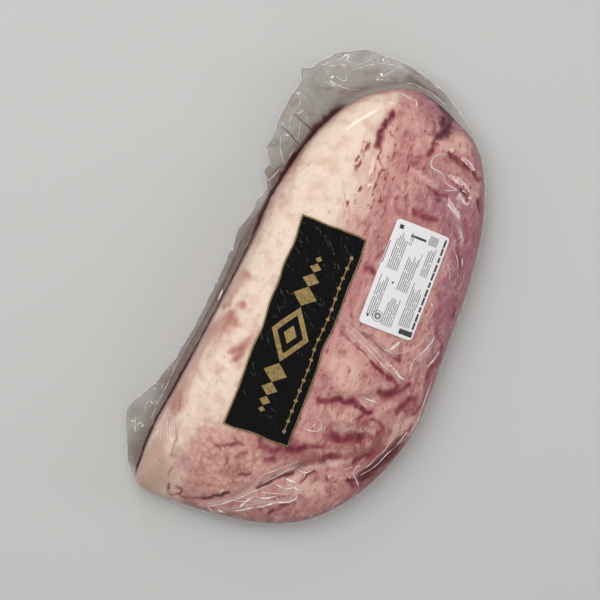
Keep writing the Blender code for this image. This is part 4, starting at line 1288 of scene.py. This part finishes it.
far_x, far_y = (side / 2 - GOLD_INSET - GOLD_EDGE / 2 for side in FRONT_SIZE)
centre_x, centre_y = FRONT_CENTRE
gold = add_panel("gold_print", (centre_x, centre_y + far_y), (2 * far_x + GOLD_EDGE, GOLD_EDGE), PRINT_CELL)
add_patch((centre_x, centre_y - far_y), (2 * far_x + GOLD_EDGE, GOLD_EDGE), PRINT_CELL)
for end in (-1, 1):
    add_patch((centre_x + end * far_x, centre_y), (GOLD_EDGE, 2 * far_y - GOLD_EDGE), PRINT_CELL)
middle_x, middle_y = LOZENGE_MIDDLE
open_length, open_width = OPEN_LOZENGE
add_ring(LOZENGE_MIDDLE, open_width, OPEN_LOZENGE_BAND, corners=4, stretch=open_length / open_width, cuts=24)
for offset, half_length, half_width in SMALL_LOZENGES:
    for end in (-1, 1) if offset else (1,):
        add_lozenge((middle_x + end * offset, middle_y), half_length, half_width)
add_patch((middle_x, RULE_LINE), (RULE_LENGTH, RULE_WIDTH), PRINT_CELL)
for number in range(STUD_COUNT):
    stud_x = middle_x + RULE_LENGTH * (number / (STUD_COUNT - 1) - 0.5)
    add_lozenge((stud_x, RULE_LINE), STUD_SIZE, STUD_SIZE * 0.8)
bpy.ops.object.mode_set(mode="OBJECT")
waver(gold)
lay_on(gold, panel, PRINT_LIFT)
thicken(gold, GOLD_THICKNESS)

# Matt metallic ink: a dull gold, worn darker in specks.
ink, tree = new_material("matt_gold_ink")
where = put(tree, "TexCoord").outputs["Object"]
wear = put(tree, "TexNoise", {"Vector": where, "Scale": 260.0, "Detail": 4.0,
                              "Roughness": 0.7}).outputs["Fac"]
worn = put(tree, "MapRange", {"Value": wear, "From Min": 0.35, "From Max": 0.7},
           interpolation_type="SMOOTHSTEP").outputs["Result"]
shade = put(tree, "Mix", {0: worn, 6: linear("b29661"), 7: linear("877047")}, data_type="RGBA").outputs[2]
shader = put(tree, "BsdfPrincipled", {"Base Color": shade, "Metallic": 0.35, "Roughness": 0.42})
put(tree, "OutputMaterial", {"Surface": shader.outputs["BSDF"]})
gold.data.materials.append(ink)
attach(gold, "root")


# The weight label: white coated paper with rounded corners, stuck to the film beside the black one.

WEIGHT_CENTRE, WEIGHT_SIZE, WEIGHT_CORNER = (39.5, -68.0), (103.0, 53.0), 4.0
STOCK_CELL, STOCK_THICKNESS = 1.0, 0.15

stock = add_panel("weight_label_stock", WEIGHT_CENTRE, WEIGHT_SIZE, STOCK_CELL)
bpy.ops.object.mode_set(mode="OBJECT")
spots = places(stock.data)
from_middle = spots[:, :2] - WEIGHT_CENTRE
straight = np.array(WEIGHT_SIZE) / 2 - WEIGHT_CORNER
into_corner = np.abs(from_middle) / WEIGHT_CORNER - straight / WEIGHT_CORNER
beyond = np.clip(into_corner, 0.0, 1.0)
rounded = beyond * np.sqrt(1.0 - beyond[:, ::-1] ** 2 / 2)
spots[:, :2] -= np.sign(from_middle) * (beyond - rounded) * WEIGHT_CORNER
set_places(stock.data, spots)
lay_on(stock, film, LABEL_LIFT)
thicken(stock, STOCK_THICKNESS)

# Coated paper: an even, slightly cool white with a faint tooth.
paper, tree = new_material("white_coated_paper")
where = put(tree, "TexCoord").outputs["Object"]
fibre = put(tree, "TexNoise", {"Vector": where, "Scale": 700.0, "Detail": 3.0}).outputs["Fac"]
shade = put(tree, "Mix", {0: fibre, 6: linear("dcdada"), 7: linear("e6e4e4")}, data_type="RGBA").outputs[2]
tooth = put(tree, "Bump", {"Strength": 0.1, "Distance": 0.0002, "Height": fibre}).outputs["Normal"]
shader = put(tree, "BsdfPrincipled", {"Base Color": shade, "Roughness": 0.5, "IOR": 1.45, "Normal": tooth})
put(tree, "OutputMaterial", {"Surface": shader.outputs["BSDF"]})
stock.data.materials.append(paper)
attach(stock, "root")
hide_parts("weight_label")


# The ink on it: plain rules, bars, blocks and a ring in black and grey. Each is a thin film of thermal
# print on the coated face.

INK_CELL, INK_THICKNESS = 1.3, 0.04
LINE_WIDTH, LINE_STEP = 0.8, 1.9
BLOCK_BARS, BLOCK_STEP, BLOCK_FOOT, BLOCK_BAR = 7, 1.25, (82.0, -84.5), (9.0, 0.7)
# Groups of fine rules: the middle of the group, its length and how many rules, in mm.
RULE_GROUPS = (
    ((18.0, -50.0), 42.0, 5), ((62.0, -53.0), 36.0, 6), ((8.0, -66.5), 30.0, 6), ((46.0, -69.0), 36.0, 6),
    ((20.0, -82.5), 44.0, 6), ((62.0, -83.0), 28.0, 4), ((77.0, -61.0), 12.0, 2),
)
DARK_BARS = (
    ((-6.5, -86.5), (5.0, 13.0)), ((80.0, -66.5), (2.2, 15.0)), ((58.0, -42.5), (22.0, 0.7)),
    ((84.5, -48.0), (4.0, 4.0)), ((-3.0, -47.5), (3.0, 1.6)), ((33.0, -58.5), (1.8, 1.8)),
)
DASH_FOOT, DASH_COUNT, DASH_STEP = (-6.0, -91.6), 12, 8.2
LONG_DASH, SHORT_DASH, DASH_WIDTH = 7.4, 5.2, 1.9
RING_PLACE, RING_RADIUS = (-1.0, -56.5), 5.4
rng = np.random.default_rng(7)

grey = add_panel("grey_ink", (61.0, -75.0), (14.0, 0.5), INK_CELL)
for (group_x, group_y), length, count in RULE_GROUPS:
    for number in range(count):
        line_y = group_y + LINE_STEP * (number - (count - 1) / 2)
        reach = length * rng.uniform(0.75, 1.0)
        split = rng.uniform(0.3, 0.7)
        start_x = group_x - length / 2
        add_patch((start_x + reach * split / 2 - 0.6, line_y), (reach * split - 1.2, LINE_WIDTH), INK_CELL)
        add_patch((start_x + reach * (1 + split) / 2, line_y), (reach * (1 - split), LINE_WIDTH), INK_CELL)
for number in range(BLOCK_BARS):
    add_patch((BLOCK_FOOT[0], BLOCK_FOOT[1] + BLOCK_STEP * number), BLOCK_BAR, INK_CELL)
add_ring(RING_PLACE, RING_RADIUS, inner_share=0.88, corners=40, stretch=1.0, cuts=0)
add_ring(RING_PLACE, RING_RADIUS * 0.62, inner_share=0.35, corners=40, stretch=1.0, cuts=1)
bpy.ops.object.mode_set(mode="OBJECT")
lay_on(grey, stock, PRINT_LIFT)
thicken(grey, INK_THICKNESS)

dark = add_panel("black_ink", *DARK_BARS[0], INK_CELL)
for centre, size in DARK_BARS[1:]:
    add_patch(centre, size, INK_CELL)
for number in range(DASH_COUNT):
    dash = LONG_DASH if number % 3 else SHORT_DASH
    add_patch((DASH_FOOT[0] + DASH_STEP * number, DASH_FOOT[1]), (dash, DASH_WIDTH), INK_CELL)
bpy.ops.object.mode_set(mode="OBJECT")
lay_on(dark, stock, PRINT_LIFT)
thicken(dark, INK_THICKNESS)

# Thermal ink: flat grey or black, faded in specks where the paper shows through.
for piece, name, code in ((grey, "grey_thermal_ink", "7b797c"), (dark, "black_thermal_ink", "1a1a1c")):
    thermal, tree = new_material(name)
    where = put(tree, "TexCoord").outputs["Object"]
    speckle = put(tree, "TexNoise", {"Vector": where, "Scale": 1400.0, "Detail": 2.0}).outputs["Fac"]
    faded = put(tree, "MapRange", {"Value": speckle, "From Min": 0.5, "From Max": 0.75,
                                   "To Max": 0.5}).outputs["Result"]
    shade = put(tree, "Mix", {0: faded, 6: linear(code), 7: linear("c4c2c3")}, data_type="RGBA").outputs[2]
    shader = put(tree, "BsdfPrincipled", {"Base Color": shade, "Roughness": 0.55})
    put(tree, "OutputMaterial", {"Surface": shader.outputs["BSDF"]})
    piece.data.materials.append(thermal)
    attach(piece, "root")


# The studio: a pale floor, a broad soft ceiling that only fills, narrow soft boxes that the film
# mirrors, and the camera straight above the pack, turned as the pack lies.

FLOOR_DROP = 0.3
bpy.ops.object.select_all(action="DESELECT")
bpy.ops.mesh.primitive_plane_add(size=20.0, location=(0.0, 0.0, -FLOOR_DROP * MM))
floor = bpy.context.object
floor.name = "studio_floor"
sweep, tree = new_material("pale_studio_floor")
shader = put(tree, "BsdfPrincipled", {"Base Color": linear("c2c2c0"), "Roughness": 0.8,
                                      "Specular IOR Level": 0.2})
put(tree, "OutputMaterial", {"Surface": shader.outputs["BSDF"]})
floor.data.materials.append(sweep)

PHOTO_TURN = math.radians(-69.0)      # turns the camera's up to the photo's up
LIGHTS = (
    # name, place round the pack seen in the photo (right, up, height) in m, size in m, power in W, mirrored
    ("ceiling_fill", (-0.35, 0.45, 2.0), (2.0, 2.0), 32.0, False),
    ("front_fill", (0.5, -1.6, 1.1), (1.2, 0.6), 2.5, False),
    ("left_softbox", (-1.3, 0.6, 1.1), (0.12, 0.8), 3.0, False),
    ("right_softbox", (1.5, 0.2, 0.9), (0.2, 0.8), 4.0, True),
    ("top_softbox", (-0.2, 1.5, 1.0), (0.45, 0.2), 2.2, True),
)
right = Vector((math.cos(PHOTO_TURN), math.sin(PHOTO_TURN), 0.0))
up = Vector((-math.sin(PHOTO_TURN), math.cos(PHOTO_TURN), 0.0))
for name, (side, ahead, height), size, power, mirrored in LIGHTS:
    data = bpy.data.lights.new(name, "AREA")
    data.shape, data.size, data.size_y, data.energy = "RECTANGLE", size[0], size[1], power
    lamp = bpy.data.objects.new(name, data)
    lamp.location = right * side + up * ahead + Vector((0.0, 0.0, height))
    lamp.rotation_euler = (-lamp.location).to_track_quat("-Z", "Y").to_euler()
    lamp.visible_glossy = mirrored
    bpy.context.scene.collection.objects.link(lamp)

AIR_STRENGTH = 0.3
world = bpy.data.worlds.new("studio_air")
world.use_nodes = True
world.node_tree.nodes["Background"].inputs["Color"].default_value = linear("ffffff")
world.node_tree.nodes["Background"].inputs["Strength"].default_value = AIR_STRENGTH
bpy.context.scene.world = world
bpy.context.scene.view_settings.view_transform = "Standard"

# The camera's height, the point under it, and the width that the frame shows at a level, in m.
CAMERA_HEIGHT, CAMERA_OVER, FRAME_WIDTH, FRAME_LEVEL = 1.6, (-0.0106, 0.0177), 0.558, 0.065
camera = bpy.data.objects.new("camera", bpy.data.cameras.new("camera"))
camera.location = (*CAMERA_OVER, CAMERA_HEIGHT)
camera.rotation_euler = (0.0, 0.0, PHOTO_TURN)
camera.data.lens = camera.data.sensor_width * (CAMERA_HEIGHT - FRAME_LEVEL) / FRAME_WIDTH
bpy.context.scene.collection.objects.link(camera)
bpy.context.scene.camera = camera
